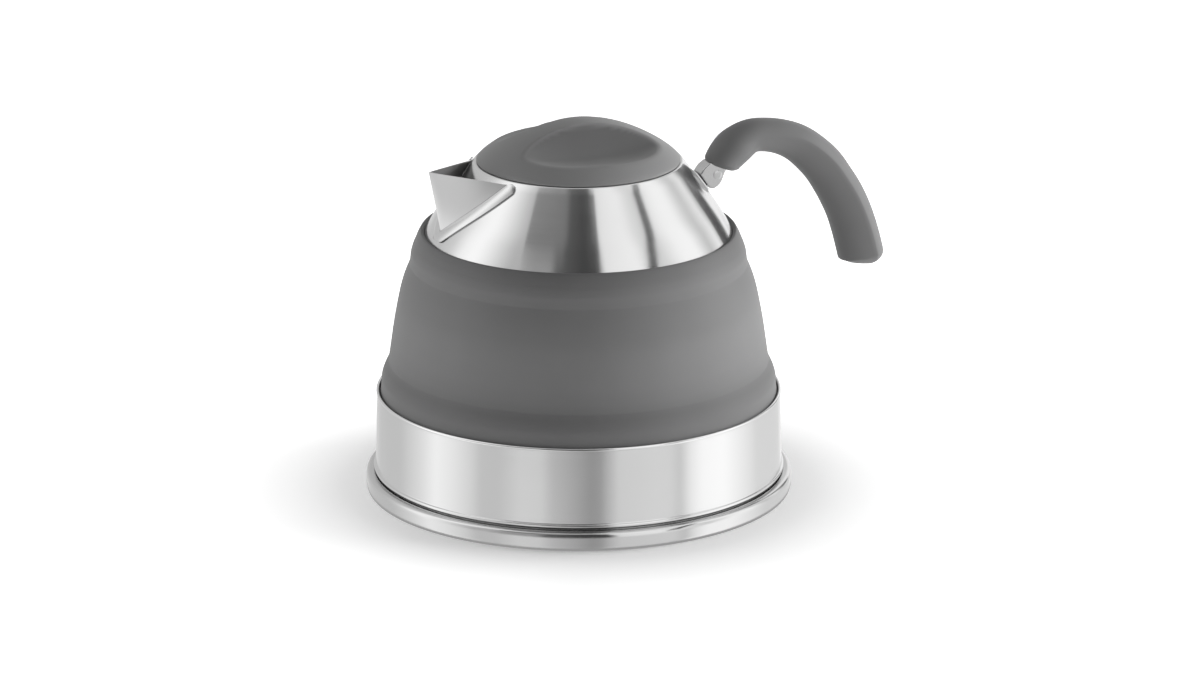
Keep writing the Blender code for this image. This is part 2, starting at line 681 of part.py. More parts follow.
def core_line():
    """The core's centre line from inside the bracket to inside the grip's end."""
    grip = [(x, z) for x, z, _ in grip_line()]
    along = travelled(grip)
    kept = [point for point, distance in zip(grip, along) if distance <= along[-1] - CORE_INSET]
    foot_x, foot_z = foot_profile()[-1]
    return [(foot_x, foot_z + CORE_ROOT_UP)] + kept


def ribbon(line, half, extend_start=0.0, extend_end=0.0):
    """An outline at a half width on both sides of a line."""
    left, right = [], []
    last = len(line) - 1
    for index, (x, z) in enumerate(line):
        ahead = line[min(index + 1, last)]
        behind = line[max(index - 1, 0)]
        direction = Vector((ahead[0] - behind[0], ahead[1] - behind[1])).normalized()
        place = Vector((x, z))
        if index == 0:
            place -= direction * extend_start
        if index == last:
            place += direction * extend_end
        side = Vector((-direction.y, direction.x)) * half
        left.append(tuple(place + side))
        right.append(tuple(place - side))
    return left + right[::-1]


def make_handle():
    """The flat core in its grip, the bracket with its foot on the cone, and the rivet across it."""
    line = core_line()
    core = plate("handle_core", ribbon(line, CORE_HEIGHT / 2), CORE_THICK / 2)
    slots = []
    for name in ("grip_slot", "bracket_slot"):
        outline = ribbon(line, CORE_HEIGHT / 2 + GAP, GAP, GAP)
        slots.append(plate(name, outline, CORE_THICK / 2 + GAP, CUTTERS))
    grip = make_grip(slots[0])

    foot = foot_profile()
    foot_x, foot_z = foot[-1]
    foot_height = foot[0][1] - foot_z
    bracket = turned("handle_bracket", foot, start=-BRACKET_FOOT_ANGLE / 2, sweep=BRACKET_FOOT_ANGLE, steps=6)
    wall(bracket, BRACKET_FOOT_SHEET)
    outline = [(foot_x - BRACKET_FOOT_SHEET / 2 + BRACKET_OUT * out, foot_z + foot_height * up)
               for out, up in BRACKET_SHARES]
    knuckle = plate("bracket_knuckle", outline, BRACKET_WIDTH / 2, CUTTERS)
    soft = knuckle.modifiers.new("edges", "BEVEL")
    soft.width = BRACKET_EDGE
    soft.segments = 2
    soft.limit_method = "ANGLE"
    combine(bracket, knuckle, "UNION")
    combine(bracket, slots[1], "DIFFERENCE")

    reach = BRACKET_WIDTH / 2 + GAP
    head = [(RIVET_HEAD * wide, reach + RIVET_HEAD_HEIGHT * high) for wide, high in RIVET_HEAD_SHARES]
    head.append((RIVET_RADIUS, reach))
    profile = head + [(radius, -height) for radius, height in reversed(head)]
    rivet = to_mesh(turned("handle_rivet", profile, steps=SEGMENTS // 3))
    middle = Matrix.Translation((foot_x + RIVET_OUT, 0, foot_z + RIVET_UP))
    place = middle @ Matrix.Rotation(math.pi / 2, 4, "X")
    rivet.data.transform(place)
    for target in (bracket, core):
        bore = rod(f"{target.name}_bore", RIVET_RADIUS + GAP, -reach - OVERRUN, reach + OVERRUN, CUTTERS)
        bore.data.transform(place)
        combine(target, bore, "DIFFERENCE")
    dress(core, STEEL)
    dress(bracket, POLISHED)
    dress(rivet, POLISHED)
    return [grip, core, bracket, rivet]


# Lid: silicone cover, nylon core, steel pan, seal and screw
def dome_height(radius):
    """Height of the plain dome above the lid's edge."""
    share = min(radius / LID_RADIUS, 1)
    return LID_RISE * (1 - share ** LID_POWER) ** LID_ROUND


def lid_height(x, y):
    """Height of the cover above the lid's edge, with both finger scoops pressed in."""
    dome = dome_height(math.hypot(x, y))
    aside = abs(y) - SCOOP_OFFSET
    scoop = SCOOP_FLOOR + SCOOP_END_RISE * (abs(x) / SCOOP_REACH) ** SCOOP_END_POWER
    if aside < 0:
        scoop += RIDGE_RISE * (-aside / RIDGE_REACH) ** RIDGE_POWER
    else:
        scoop += LIP_RISE * (aside / LIP_REACH) ** LIP_POWER
    soft = max(SCOOP_SOFTNESS - abs(dome - scoop), 0) / SCOOP_SOFTNESS
    soft *= min(1, dome / SCOOP_SOFTNESS)
    return min(dome, scoop) - soft ** 2 * SCOOP_SOFTNESS / 4


def pressed_dome(name, drop, floor, collection=PARTS):
    """A round block whose top is pressed to the cover's shape, lowered by a drop."""
    shape = bmesh.new()
    bmesh.ops.create_grid(shape, x_segments=LID_CELLS_ALONG, y_segments=LID_CELLS_ACROSS, size=1)
    for vertex in shape.verts:
        u, v = vertex.co.x, math.copysign(abs(vertex.co.y) ** LID_CELL_CROWDING, vertex.co.y)
        x = LID_RADIUS * u * math.sqrt(1 - v * v / 2)
        y = LID_RADIUS * v * math.sqrt(1 - u * u / 2)
        vertex.co = (x, y, LID_EDGE + LID_BAND + lid_height(x, y) - drop)
    made = bmesh.ops.extrude_face_region(shape, geom=shape.faces[:])
    for vertex in made["geom"]:
        if isinstance(vertex, bmesh.types.BMVert):
            vertex.co.z = floor
    bmesh.ops.recalc_face_normals(shape, faces=shape.faces)
    mesh = bpy.data.meshes.new(name)
    shape.to_mesh(mesh)
    shape.free()
    return link(name, mesh, collection)


def make_lid():
    """The pressed cover over its core, the pan that plugs the neck, its seal and its screw."""
    cover = pressed_dome("lid_cover", 0, LID_EDGE)
    hollow = pressed_dome("cover_hollow", COVER_WALL, LID_EDGE - OVERRUN, CUTTERS)
    combine(cover, hollow, "DIFFERENCE")

    boss_low = PAN_FLOOR + SHEET + GAP
    disc_low = PAN_TOP + GAP
    disc_r = LID_RADIUS - CORE_DISC_INSET
    disc = [(0, CORE_TOP), (disc_r, CORE_TOP), (disc_r, disc_low), (BOSS_RADIUS, disc_low),
            (BOSS_RADIUS, boss_low), (0, boss_low)]
    core = turned("lid_core", disc)
    rib_low = (CORE_TOP + disc_low) / 2
    rib_half = LID_RADIUS - RIB_INSET
    rib_drop = COVER_WALL - LID_BAND + 2 * GAP
    outline = [(-rib_half, rib_low)]
    for step in range(RIB_STEPS + 1):
        x = rib_half * (2 * step / RIB_STEPS - 1)
        outline.append((x, LID_EDGE + dome_height(math.hypot(x, RIB_HALF_WIDTH)) - rib_drop))
    outline.append((rib_half, rib_low))
    combine(core, plate("core_rib", outline, RIB_HALF_WIDTH, CUTTERS), "UNION")
    screw_top = PAN_FLOOR + SCREW_LENGTH
    bore = rod("screw_bore", SCREW_RADIUS + GAP, boss_low - OVERRUN, screw_top + GAP, CUTTERS)
    combine(core, bore, "DIFFERENCE")

    seal_top = NECK_RIM_HEIGHT - SEAL_DROP
    seal_low = seal_top - SEAL_HEIGHT
    groove_r = PLUG_RADIUS - PLUG_GROOVE
    pan = [(PLUG_RADIUS, PAN_TOP), (PLUG_RADIUS, seal_top + GAP), (groove_r, seal_top), (groove_r, seal_low),
           (PLUG_RADIUS, seal_low - GAP)]
    pan += arc(PLUG_RADIUS - PLUG_CORNER, PAN_FLOOR + PLUG_CORNER, PLUG_CORNER, PLUG_CORNER, 0, -90, 2)
    pan.append((SCREW_RADIUS + GAP, PAN_FLOOR))
    lid_pan = wall(turned("lid_pan", pan), SHEET)

    inner_r = groove_r + GAP
    outer_r = NECK_RADIUS - GAP
    low = seal_low + GAP
    top = seal_top - GAP
    ring = [(inner_r, top), (outer_r - SEAL_ROUND, top), (outer_r, top - SEAL_ROUND),
            (outer_r, low + SEAL_ROUND), (outer_r - SEAL_ROUND, low), (inner_r, low)]
    seal = turned("lid_seal", ring, closed=True)

    head_top = PAN_FLOOR - GAP
    head_low = head_top - SCREW_HEAD_HEIGHT
    shaft = [(0, screw_top), (SCREW_RADIUS, screw_top), (SCREW_RADIUS, head_top), (SCREW_HEAD, head_top),
             (SCREW_HEAD, head_low + SCREW_HEAD_CHAMFER), (SCREW_HEAD - SCREW_HEAD_CHAMFER, head_low),
             (0, head_low)]
    screw = turned("lid_screw", shaft, steps=SEGMENTS // 3)

    dress(cover, SILICONE)
    dress(core, NYLON)
    dress(lid_pan, STEEL)
    dress(seal, SILICONE)
    dress(screw, POLISHED)
    return [cover, core, lid_pan, seal, screw]


make_base()
fixed_sleeve, moving_sleeve = make_sleeve()
shoulder = make_shoulder() + moving_sleeve + [make_spout()] + make_handle()
hang(shoulder, "shoulder_slide", UPPER_CREASE_HEIGHT)
hang(make_lid(), "lid_slide", LID_EDGE)
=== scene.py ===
"""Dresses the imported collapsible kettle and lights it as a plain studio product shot.

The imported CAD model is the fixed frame. Every length is in metres in that frame: +Z is up, +X points
to the handle, -X to the spout, and the floor is at z = 0.
"""

import json
import logging
import math
from collections.abc import Callable, Sequence
from dataclasses import dataclass
from enum import Enum

import bmesh
import bpy
from bmesh.types import BMesh, BMFace, BMVert
from bpy.types import ID, Material, Node, NodeSocket, NodeTree, Object
from mathutils import Matrix, Vector


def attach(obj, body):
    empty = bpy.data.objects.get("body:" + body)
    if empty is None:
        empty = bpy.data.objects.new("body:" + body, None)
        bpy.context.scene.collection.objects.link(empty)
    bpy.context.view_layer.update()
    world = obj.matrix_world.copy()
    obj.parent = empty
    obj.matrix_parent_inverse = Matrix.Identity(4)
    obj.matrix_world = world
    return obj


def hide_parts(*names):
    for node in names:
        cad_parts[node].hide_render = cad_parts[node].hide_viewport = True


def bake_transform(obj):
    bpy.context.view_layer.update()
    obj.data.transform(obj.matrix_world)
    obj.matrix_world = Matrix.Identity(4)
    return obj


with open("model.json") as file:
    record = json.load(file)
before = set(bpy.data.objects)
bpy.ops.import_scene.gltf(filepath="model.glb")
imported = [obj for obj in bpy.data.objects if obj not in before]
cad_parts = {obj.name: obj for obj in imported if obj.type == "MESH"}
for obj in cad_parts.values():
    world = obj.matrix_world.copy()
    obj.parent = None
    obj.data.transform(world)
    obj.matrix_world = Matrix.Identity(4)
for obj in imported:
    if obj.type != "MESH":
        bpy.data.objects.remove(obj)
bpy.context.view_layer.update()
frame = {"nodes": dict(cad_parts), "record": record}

log = logging.getLogger("kettle")

MM = 0.001
MERGE = 0.001 * MM
LATHE_STEPS = 192
CORNER_STEPS = 5
CREASE = math.radians(38)
PAINTED_SHADING = "painted_shading"
WHITE = (1, 1, 1, 1)
BLACK = (0, 0, 0, 1)

Point = tuple[float, ...]


class Body(Enum):
    """The CAD bodies that pieces ride on."""

    BASE = "base"
    SHOULDER = "shoulder"
    LID = "lid"


class Slot(Enum):
    """The record's material slots."""

    CAP = "cap_steel"
    STEEL = "body_steel"
    SPOUT = "spout_steel"
    SPREADER = "spreader_aluminium"
    SLEEVE = "sleeve_silicone"
    GRIP = "grip_silicone"
    NYLON = "nylon"


class Lay(Enum):
    """Which way a metal's polishing lines run."""

    ROUND = "round the axis"
    PLAIN = "all ways"


# Geometry helpers


def metres(*points: Point) -> list[Point]:
    """Turns points in millimetres to metres."""
    return [tuple(value * MM for value in point) for point in points]


def flow(points: Sequence[Point], steps: int) -> list[Point]:
    """Draws a smooth line through points, as a draughtsman's spline does.

    Args:
        points: The points, each with the same count of numbers.
        steps: Steps between two neighbours.

    Returns:
        The smooth line's points, the given ones among them.
    """
    ends = [points[0], *points, points[-1]]
    line: list[Point] = []
    for before, start, end, after in zip(ends, ends[1:], ends[2:], ends[3:]):
        for step in range(steps):
            t = step / steps
            line.append(tuple(
                (2 * b + (c - a) * t + (2 * a - 5 * b + 4 * c - d) * t ** 2
                 + (3 * b - a - 3 * c + d) * t ** 3) / 2 for a, b, c, d in zip(before, start, end, after)))
    line.append(tuple(points[-1]))
    return line


def tidy(shape: BMesh) -> BMesh:
    """Merges doubled points and turns every face outwards.

    Args:
        shape: The shape.

    Returns:
        The same shape.
    """
    bmesh.ops.remove_doubles(shape, verts=shape.verts, dist=MERGE)
    bmesh.ops.recalc_face_normals(shape, faces=shape.faces)
    return shape


def face_towards(shape: BMesh, face: BMFace, way: Sequence[float]) -> None:
    """Turns a shape inside out if one of its faces looks away from a direction."""
    if face.normal.dot(Vector(way)) < 0:
        bmesh.ops.reverse_faces(shape, faces=shape.faces)


def round_off(shape: BMesh, verts: Sequence[BMVert], reaches: Sequence[float]) -> None:
    """Rounds the corners of a flat outline.

    Args:
        shape: The outline's shape.
        verts: Its corners.
        reaches: How far along its sides each is rounded, or 0.
    """
    for vert, reach in zip(verts, reaches):
        if reach > 0:
            bmesh.ops.bevel(shape, geom=[vert], offset=reach, offset_type="OFFSET", segments=CORNER_STEPS,
                            profile=0.5, affect="VERTICES", material=-1)


def lathe(outline: Sequence[Point], closed: bool = False, steps: int = LATHE_STEPS) -> BMesh:
    """Turns an outline about the kettle's axis.

    Args:
        outline: Radius, height and, where a corner is rounded, its reach, in order.
        closed: Whether the last corner joins the first.
        steps: Facets round the axis.

    Returns:
        The turned shape, with its outermost face looking away from the axis.
    """
    shape = bmesh.new()
    verts = [shape.verts.new((radius, 0, height)) for radius, height, *_ in outline]
    ring = [*verts, verts[0]] if closed else verts
    for start, end in zip(ring, ring[1:]):
        shape.edges.new((start, end))
    round_off(shape, verts, [sum(reach) for _, _, *reach in outline])
    bmesh.ops.spin(shape, geom=[*shape.verts, *shape.edges], cent=(0, 0, 0), axis=(0, 0, 1),
                   angle=2 * math.pi, steps=steps, use_merge=True)
    tidy(shape)
    outermost = max(shape.faces, key=lambda face: face.calc_center_median().xy.length)
    face_towards(shape, outermost, (*outermost.calc_center_median().xy, 0))
    return shape


def add_object(name: str, data: ID) -> Object:
    """Puts an object into the scene.

    Args:
        name: Its name.
        data: Its mesh, lamp or camera.

    Returns:
        The new object.
    """
    made = bpy.data.objects.new(name, data)
    bpy.context.scene.collection.objects.link(made)
    return made


def piece(name: str, shape: BMesh, material: Material) -> Object:
    """Makes a finished shape an object at the origin, smooth but for its creases.

    Args:
        name: The piece's name.
        shape: Its geometry, which is used up.
        material: Its finish.

    Returns:
        The new object.
    """
    mesh = bpy.data.meshes.new(name)
    shape.to_mesh(mesh)
    shape.free()
    mesh.materials.append(material)
    mesh.shade_smooth()
    mesh.set_sharp_from_angle(angle=CREASE)
    return add_object(name, mesh)


def turned(name: str, material: Material, *rows: Point, closed: bool = False,
           steps: int = LATHE_STEPS) -> Object:
    """Makes a turned piece from the rows of its outline, in millimetres."""
    return piece(name, lathe(metres(*rows), closed, steps), material)


def sheet_wall(part: Object, thickness: float, edge: float = 0.0) -> Object:
    """Gives an open surface its wall on the inner side, rounds its edges and evens its shading.

    Args:
        part: The piece.
        thickness: The wall.
        edge: Width of the rounding at its edges, or 0.

    Returns:
        The same piece.
    """
    wall = part.modifiers.new("wall", "SOLIDIFY")
    wall.thickness = thickness
    wall.offset = -1
    wall.use_even_offset = True
    if edge > 0:
        soften(part, edge)
    return even(part)


def soften(part: Object, width: float, segments: int = 3) -> Object:
    """Rounds a piece's crisp edges.

    Args:
        part: The piece.
        width: Width of the rounding.
        segments: Facets across it.

    Returns:
        The same piece.
    """
    bevel = part.modifiers.new("edges", "BEVEL")
    bevel.width = width
    bevel.segments = segments
    bevel.limit_method = "ANGLE"
    bevel.angle_limit = CREASE
    return part


def even(part: Object) -> Object:
    """Weights a piece's normals by area, so that flat stretches reflect as flat."""
    part.modifiers.new("even_shading", "WEIGHTED_NORMAL").keep_sharp = True
    return part


def apply_modifiers(part: Object) -> None:
    """Makes what a piece's modifiers show its own mesh.

    Args:
        part: The piece.
    """
    bpy.context.view_layer.update()
    shown = bpy.data.meshes.new_from_object(part.evaluated_get(bpy.context.evaluated_depsgraph_get()))
    part.modifiers.clear()
    shown.name = part.name
    part.data = shown
    shown.set_sharp_from_angle(angle=CREASE)


def with_painted_shading(part: Object, rule: Callable[[Vector], float]) -> Object:
    """Writes painted shading, the colour's painted lightness at each point, which the silicone reads.

    Args:
        part: The piece.
        rule: The painted shading at a place, as a share of the plain colour.

    Returns:
        The same piece.
    """
    layer = part.data.attributes.new(PAINTED_SHADING, "FLOAT", "POINT")
    for entry, vert in zip(layer.data, part.data.vertices):
        entry.value = rule(vert.co)
    return part


def settle(part: Object, body: Body, slot: Slot, *nodes: str) -> None:
    """Lets a piece ride on its body and stand for CAD nodes.

    Args:
        part: The piece.
        body: The CAD body that it moves with.
        slot: The record's material slot; not used.
        nodes: CAD nodes that it stands for.
    """
    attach(part, body.value)
    if nodes:
        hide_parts(*nodes)
    log.info("made %s on %s", part.name, body.value)


# Finishes


def grey(level: float) -> Point:
    """A neutral colour."""
    return (level,) * 3


class Tree:
    """A node tree, with short ways to add and link nodes."""

    def __init__(self, tree: NodeTree) -> None:
        """Takes the tree to work on."""
        self.tree = tree

    def add(self, kind: str, links: dict[str | int, NodeSocket] | None = None, **settings: object) -> Node:
        """Adds a node.

        Args:
            kind: Its type's name after ShaderNode.
            links: Its linked inputs by name or number.
            settings: Its properties and, in capitals and spaces as underscores, its input values.

        Returns:
            The node.
        """
        node = self.tree.nodes.new(f"ShaderNode{kind}")
        for key, value in settings.items():
            if key[0].isupper():
                node.inputs[key.replace("_", " ")].default_value = value
            else:
                setattr(node, key, value)
        for key, socket in (links or {}).items():
            self.tree.links.new(socket, node.inputs[key])
        return node

    def math(self, operation: str, *terms: NodeSocket | float) -> NodeSocket:
        """Adds a Math node.

        Args:
            operation: What it does.
            terms: Its inputs, sockets or plain numbers.

        Returns:
            Its result.
        """
        node = self.add("Math", operation=operation)
        for slot, term in zip(node.inputs, terms):
            if isinstance(term, (int, float)):
                slot.default_value = term
            else:
                self.tree.links.new(term, slot)
        return node.outputs[0]

    def mapped(self, value: NodeSocket, **settings: object) -> NodeSocket:
        """Maps a value from one range to another."""
        return self.add("MapRange", {"Value": value}, **settings).outputs["Result"]

    def seen(self) -> NodeSocket:
        """Tells the rays that look from the rays that light.

        Returns:
            A value that is 1 for camera, glossy and transmission rays and 0 for others.
        """
        rays = self.add("LightPath").outputs
        straight = self.math("MAXIMUM", rays["Is Camera Ray"], rays["Is Glossy Ray"])
        return self.math("MAXIMUM", straight, rays["Is Transmission Ray"])


class Bench(Tree):
    """A material's node tree: a Principled shader, object coordinates and what feeds them."""

    def __init__(self, name: str) -> None:
        """Starts the material.

        Args:
            name: Its name.
        """
        self.material = bpy.data.materials.new(name)
        self.material.use_nodes = True
        super().__init__(self.material.node_tree)
        self.shader = self.tree.nodes["Principled BSDF"]
        self.place = self.add("TexCoord").outputs["Object"]

    def set(self, **values: object) -> None:
        """Sets the shader's inputs, by their names with underscores for spaces."""
        for name, value in values.items():
            self.shader.inputs[name.replace("_", " ")].default_value = value

    def feed(self, name: str, socket: NodeSocket) -> None:
        """Links a socket to one of the shader's inputs."""
        self.tree.links.new(socket, self.shader.inputs[name])

    def noise(self, scale: float, detail: float = 2.0, place: NodeSocket | None = None) -> NodeSocket:
        """Adds a noise texture and gives its value."""
        node = self.add("TexNoise", {"Vector": place or self.place}, Scale=scale, Detail=detail)
        return node.outputs["Fac"]

    def around(self, value: NodeSocket, middle: float, spread: float) -> NodeSocket:
        """Maps a noise value to a range about a middle."""
        return self.mapped(value, From_Min=0.3, From_Max=0.7, To_Min=middle - spread, To_Max=middle + spread)

    def tint(self, colour: Point, value: NodeSocket, spread: float) -> NodeSocket:
        """Feeds the base colour, which varies with a noise value.

        Args:
            colour: The plain colour.
            value: The noise value.
            spread: The share of the colour by which it varies either way.

        Returns:
            The varied colour.
        """
        mix = self.add("Mix", {"Factor": self.around(value, middle=0.5, spread=0.5)}, data_type="RGBA")
        for name, share in (("A", 1 - spread), ("B", 1 + spread)):
            socket = next(s for s in mix.inputs if s.name == name and s.type == "RGBA")
            socket.default_value = (*(min(channel * share, 1) for channel in colour), 1)
        varied = next(s for s in mix.outputs if s.type == "RGBA")
        self.feed("Base Color", varied)
        return varied

    def bump(self, height: NodeSocket, depth: float) -> None:
        """Roughens the surface by a height in metres."""
        node = self.add("Bump", {"Height": height}, Strength=1.0, Distance=depth)
        self.feed("Normal", node.outputs["Normal"])


@dataclass(frozen=True)
class Steel:
    """Spun or pressed stainless steel.

    The polishing lines are a fine noise across their direction. They stretch highlights the other way.
    """

    name: str
    colour: Point = grey(0.66)
    roughness: float = 0.17
    smudge: float = 0.02
    anisotropy: float = 0.95
    lay: Lay = Lay.ROUND
    line_depth: float = 0.0006 * MM
    line_scale: float = 2200.0
    line_roughness: float = 0.015

    def material(self) -> Material:
        """Builds the material.

        Returns:
            The material.
        """
        bench = Bench(self.name)
        smudges = bench.around(bench.noise(scale=34.0, detail=3.0), 0.0, self.smudge)
        bench.tint(self.colour, bench.noise(scale=9.0), spread=0.025)
        lines = bench.noise(self.line_scale, place=self._across(bench))
        rough = bench.around(lines, self.roughness, self.line_roughness)
        bench.feed("Roughness", bench.math("ADD", smudges, rough))
        bench.bump(lines, self.line_depth)
        bench.set(Metallic=1.0)
        if self.lay is Lay.ROUND:
            bench.set(Anisotropic=self.anisotropy, Anisotropic_Rotation=0.25)
        return bench.material

    def _across(self, bench: Bench) -> NodeSocket:
        """Stretches the polishing lines out.

        Args:
            bench: The material's node tree.

        Returns:
            Coordinates for their noise.
        """
        if self.lay is Lay.PLAIN:
            return bench.place
        split = bench.add("SeparateXYZ", {"Vector": bench.place})
        x, y, z = (split.outputs[axis] for axis in "XYZ")
        squares = bench.math("ADD", bench.math("MULTIPLY", x, x), bench.math("MULTIPLY", y, y))
        return bench.add("CombineXYZ", {"X": bench.math("SQRT", squares), "Z": z}).outputs["Vector"]


@dataclass(frozen=True)
class Silicone:
    """Matt moulded silicone: a fine grain, faint clouds in the pigment and a soft sheen."""

    name: str
    colour: Point = (0.185, 0.185, 0.186)
    roughness: float = 0.52
    grain: float = 0.012 * MM
    sheen: float = 0.03
    with_painted_shading: bool = False

    def material(self) -> Material:
        """Builds the material.

        Returns:
            The material.
        """
        bench = Bench(self.name)
        clouds = bench.noise(scale=26.0, detail=3.0)
        colour = bench.tint(self.colour, clouds, spread=0.03)
        # Painted shading: the colour is scaled lighter or darker at each point of a piece that carries it.
        if self.with_painted_shading:
            painted_shading = bench.add("Attribute", attribute_name=PAINTED_SHADING).outputs["Fac"]
            scaled = bench.add("VectorMath", {0: colour, "Scale": painted_shading}, operation="SCALE")
            bench.feed("Base Color", scaled.outputs["Vector"])
        bench.feed("Roughness", bench.around(clouds, self.roughness, spread=0.04))
        bench.bump(bench.noise(scale=1500.0), self.grain)
        bench.set(Specular_IOR_Level=0.33, Sheen_Weight=self.sheen, Sheen_Roughness=0.5)
        return bench.material


@dataclass(frozen=True)
class Nylon:
    """Moulded nylon with a faint pebble."""

    name: str
    colour: Point = (0.06, 0.06, 0.065)
    roughness: float = 0.45
    pebble: float = 0.02 * MM

    def material(self) -> Material:
        """Builds the material.

        Returns:
            The material.
        """
        bench = Bench(self.name)
        pebble = bench.noise(scale=900.0)
        bench.tint(self.colour, bench.noise(scale=60.0), spread=0.08)
        bench.feed("Roughness", bench.around(pebble, self.roughness, spread=0.05))
        bench.bump(pebble, self.pebble)
        return bench.material


class Finishes:
    """The kettle's materials: one for each of the record's slots, and others for single pieces."""

    def __init__(self) -> None:
        """Builds every material."""
        self.cap = Steel("cap_steel", grey(0.6), roughness=0.16, anisotropy=0.9).material()
        self.body = Steel("body_steel").material()
        self.plate = Steel("spout_steel", grey(0.64), roughness=0.3, lay=Lay.PLAIN,
                           line_depth=0.0015 * MM, line_scale=1400.0).material()
        # Darker steel for the spout's inner side: a duller finish, with painted shade inside the spout.
        self.inside = Steel("spout_inside_steel", grey(0.26), roughness=0.34, lay=Lay.PLAIN).material()
        self.cast = Steel("bracket_steel", grey(0.5), roughness=0.22, smudge=0.05, lay=Lay.PLAIN,
                          line_depth=0.003 * MM, line_scale=1100.0).material()
        self.bead = Steel("bead_steel", grey(0.72), roughness=0.16, lay=Lay.PLAIN).material()
        self.flange = Steel("flange_steel", grey(0.62), roughness=0.2, lay=Lay.PLAIN).material()
        self.spreader = Steel("spreader_aluminium", (0.68, 0.69, 0.7), 0.4, lay=Lay.PLAIN).material()
        self.sleeve = Silicone("sleeve_silicone", with_painted_shading=True).material()
        self.collar = Silicone("collar_silicone").material()
        self.grip = Silicone("grip_silicone", (0.198, 0.198, 0.199), grain=0.008 * MM).material()
        # The lid's silicone is painted lighter than the grip's, painted light on its top, and carries painted
        # shade.
        self.lid = Silicone("lid_silicone", (0.275, 0.275, 0.276), grain=0.008 * MM, with_painted_shading=True).material()
        self.nylon = Nylon("nylon").material()


# The kettle's sub-assemblies


@dataclass(frozen=True)
class Foundation:
    """The drawn cup, the capsule pressed on its bottom and the band inside the cup's rim."""

    finishes: Finishes
    sheet: float = 0.6 * MM
    rim_radius: float = 89.4 * MM
    rim_height: float = 44.7 * MM
    rim_roll: float = 0.72 * MM
    rim_round_share: float = 0.98

    def build(self) -> None:
        """Makes and settles every piece of the base."""
        steel = self.finishes.body
        cap = turned("foot_capsule", self.finishes.cap, (91.1, 7.7), (91.35, 8.5, 0.3), (93.5, 8.5, 0.5),
                     (94.5, 7.9, 0.5), (95.0, 6.6, 0.7), (95.0, 1.6, 1.0), (94.4, 0.3, 0.7), (92.9, 0, 0.6),
                     (0, 0))
        settle(sheet_wall(cap, self.sheet), Body.BASE, Slot.CAP, "base_cap")
        cup = turned("drawn_cup", steel, (89.72, 44.7), (90.7, 11.3, 0.25), (91.5, 10.9, 0.3),
                     (91.6, 9.9, 0.3), (90.9, 9.4, 0.3), (90.7, 8.6, 0.3), (90.7, 4.7, 3.8), (0, 4.7))
        settle(sheet_wall(cup, self.sheet), Body.BASE, Slot.STEEL, "base_cup")
        settle(even(piece("cup_rim", self._rim(), self.finishes.bead)), Body.BASE, Slot.STEEL)
        ring = turned("foot_band", steel, (86.3, 44.1), (86.3, 35.8, 0.6), (88.8, 34.6, 0.6), (88.8, 30.1))
        settle(sheet_wall(ring, self.sheet), Body.BASE, Slot.STEEL, "lower_clamp_ring")

    def _rim(self) -> BMesh:
        """Rolls the edge of the cup's mouth.

        Returns:
            The ring.
        """
        r, z, roll = self.rim_radius, self.rim_height, self.rim_roll
        corners = [(r - roll, z - roll), (r + roll, z - roll), (r + roll, z + roll), (r - roll, z + roll)]
        return lathe([(*corner, roll * self.rim_round_share) for corner in corners], closed=True)


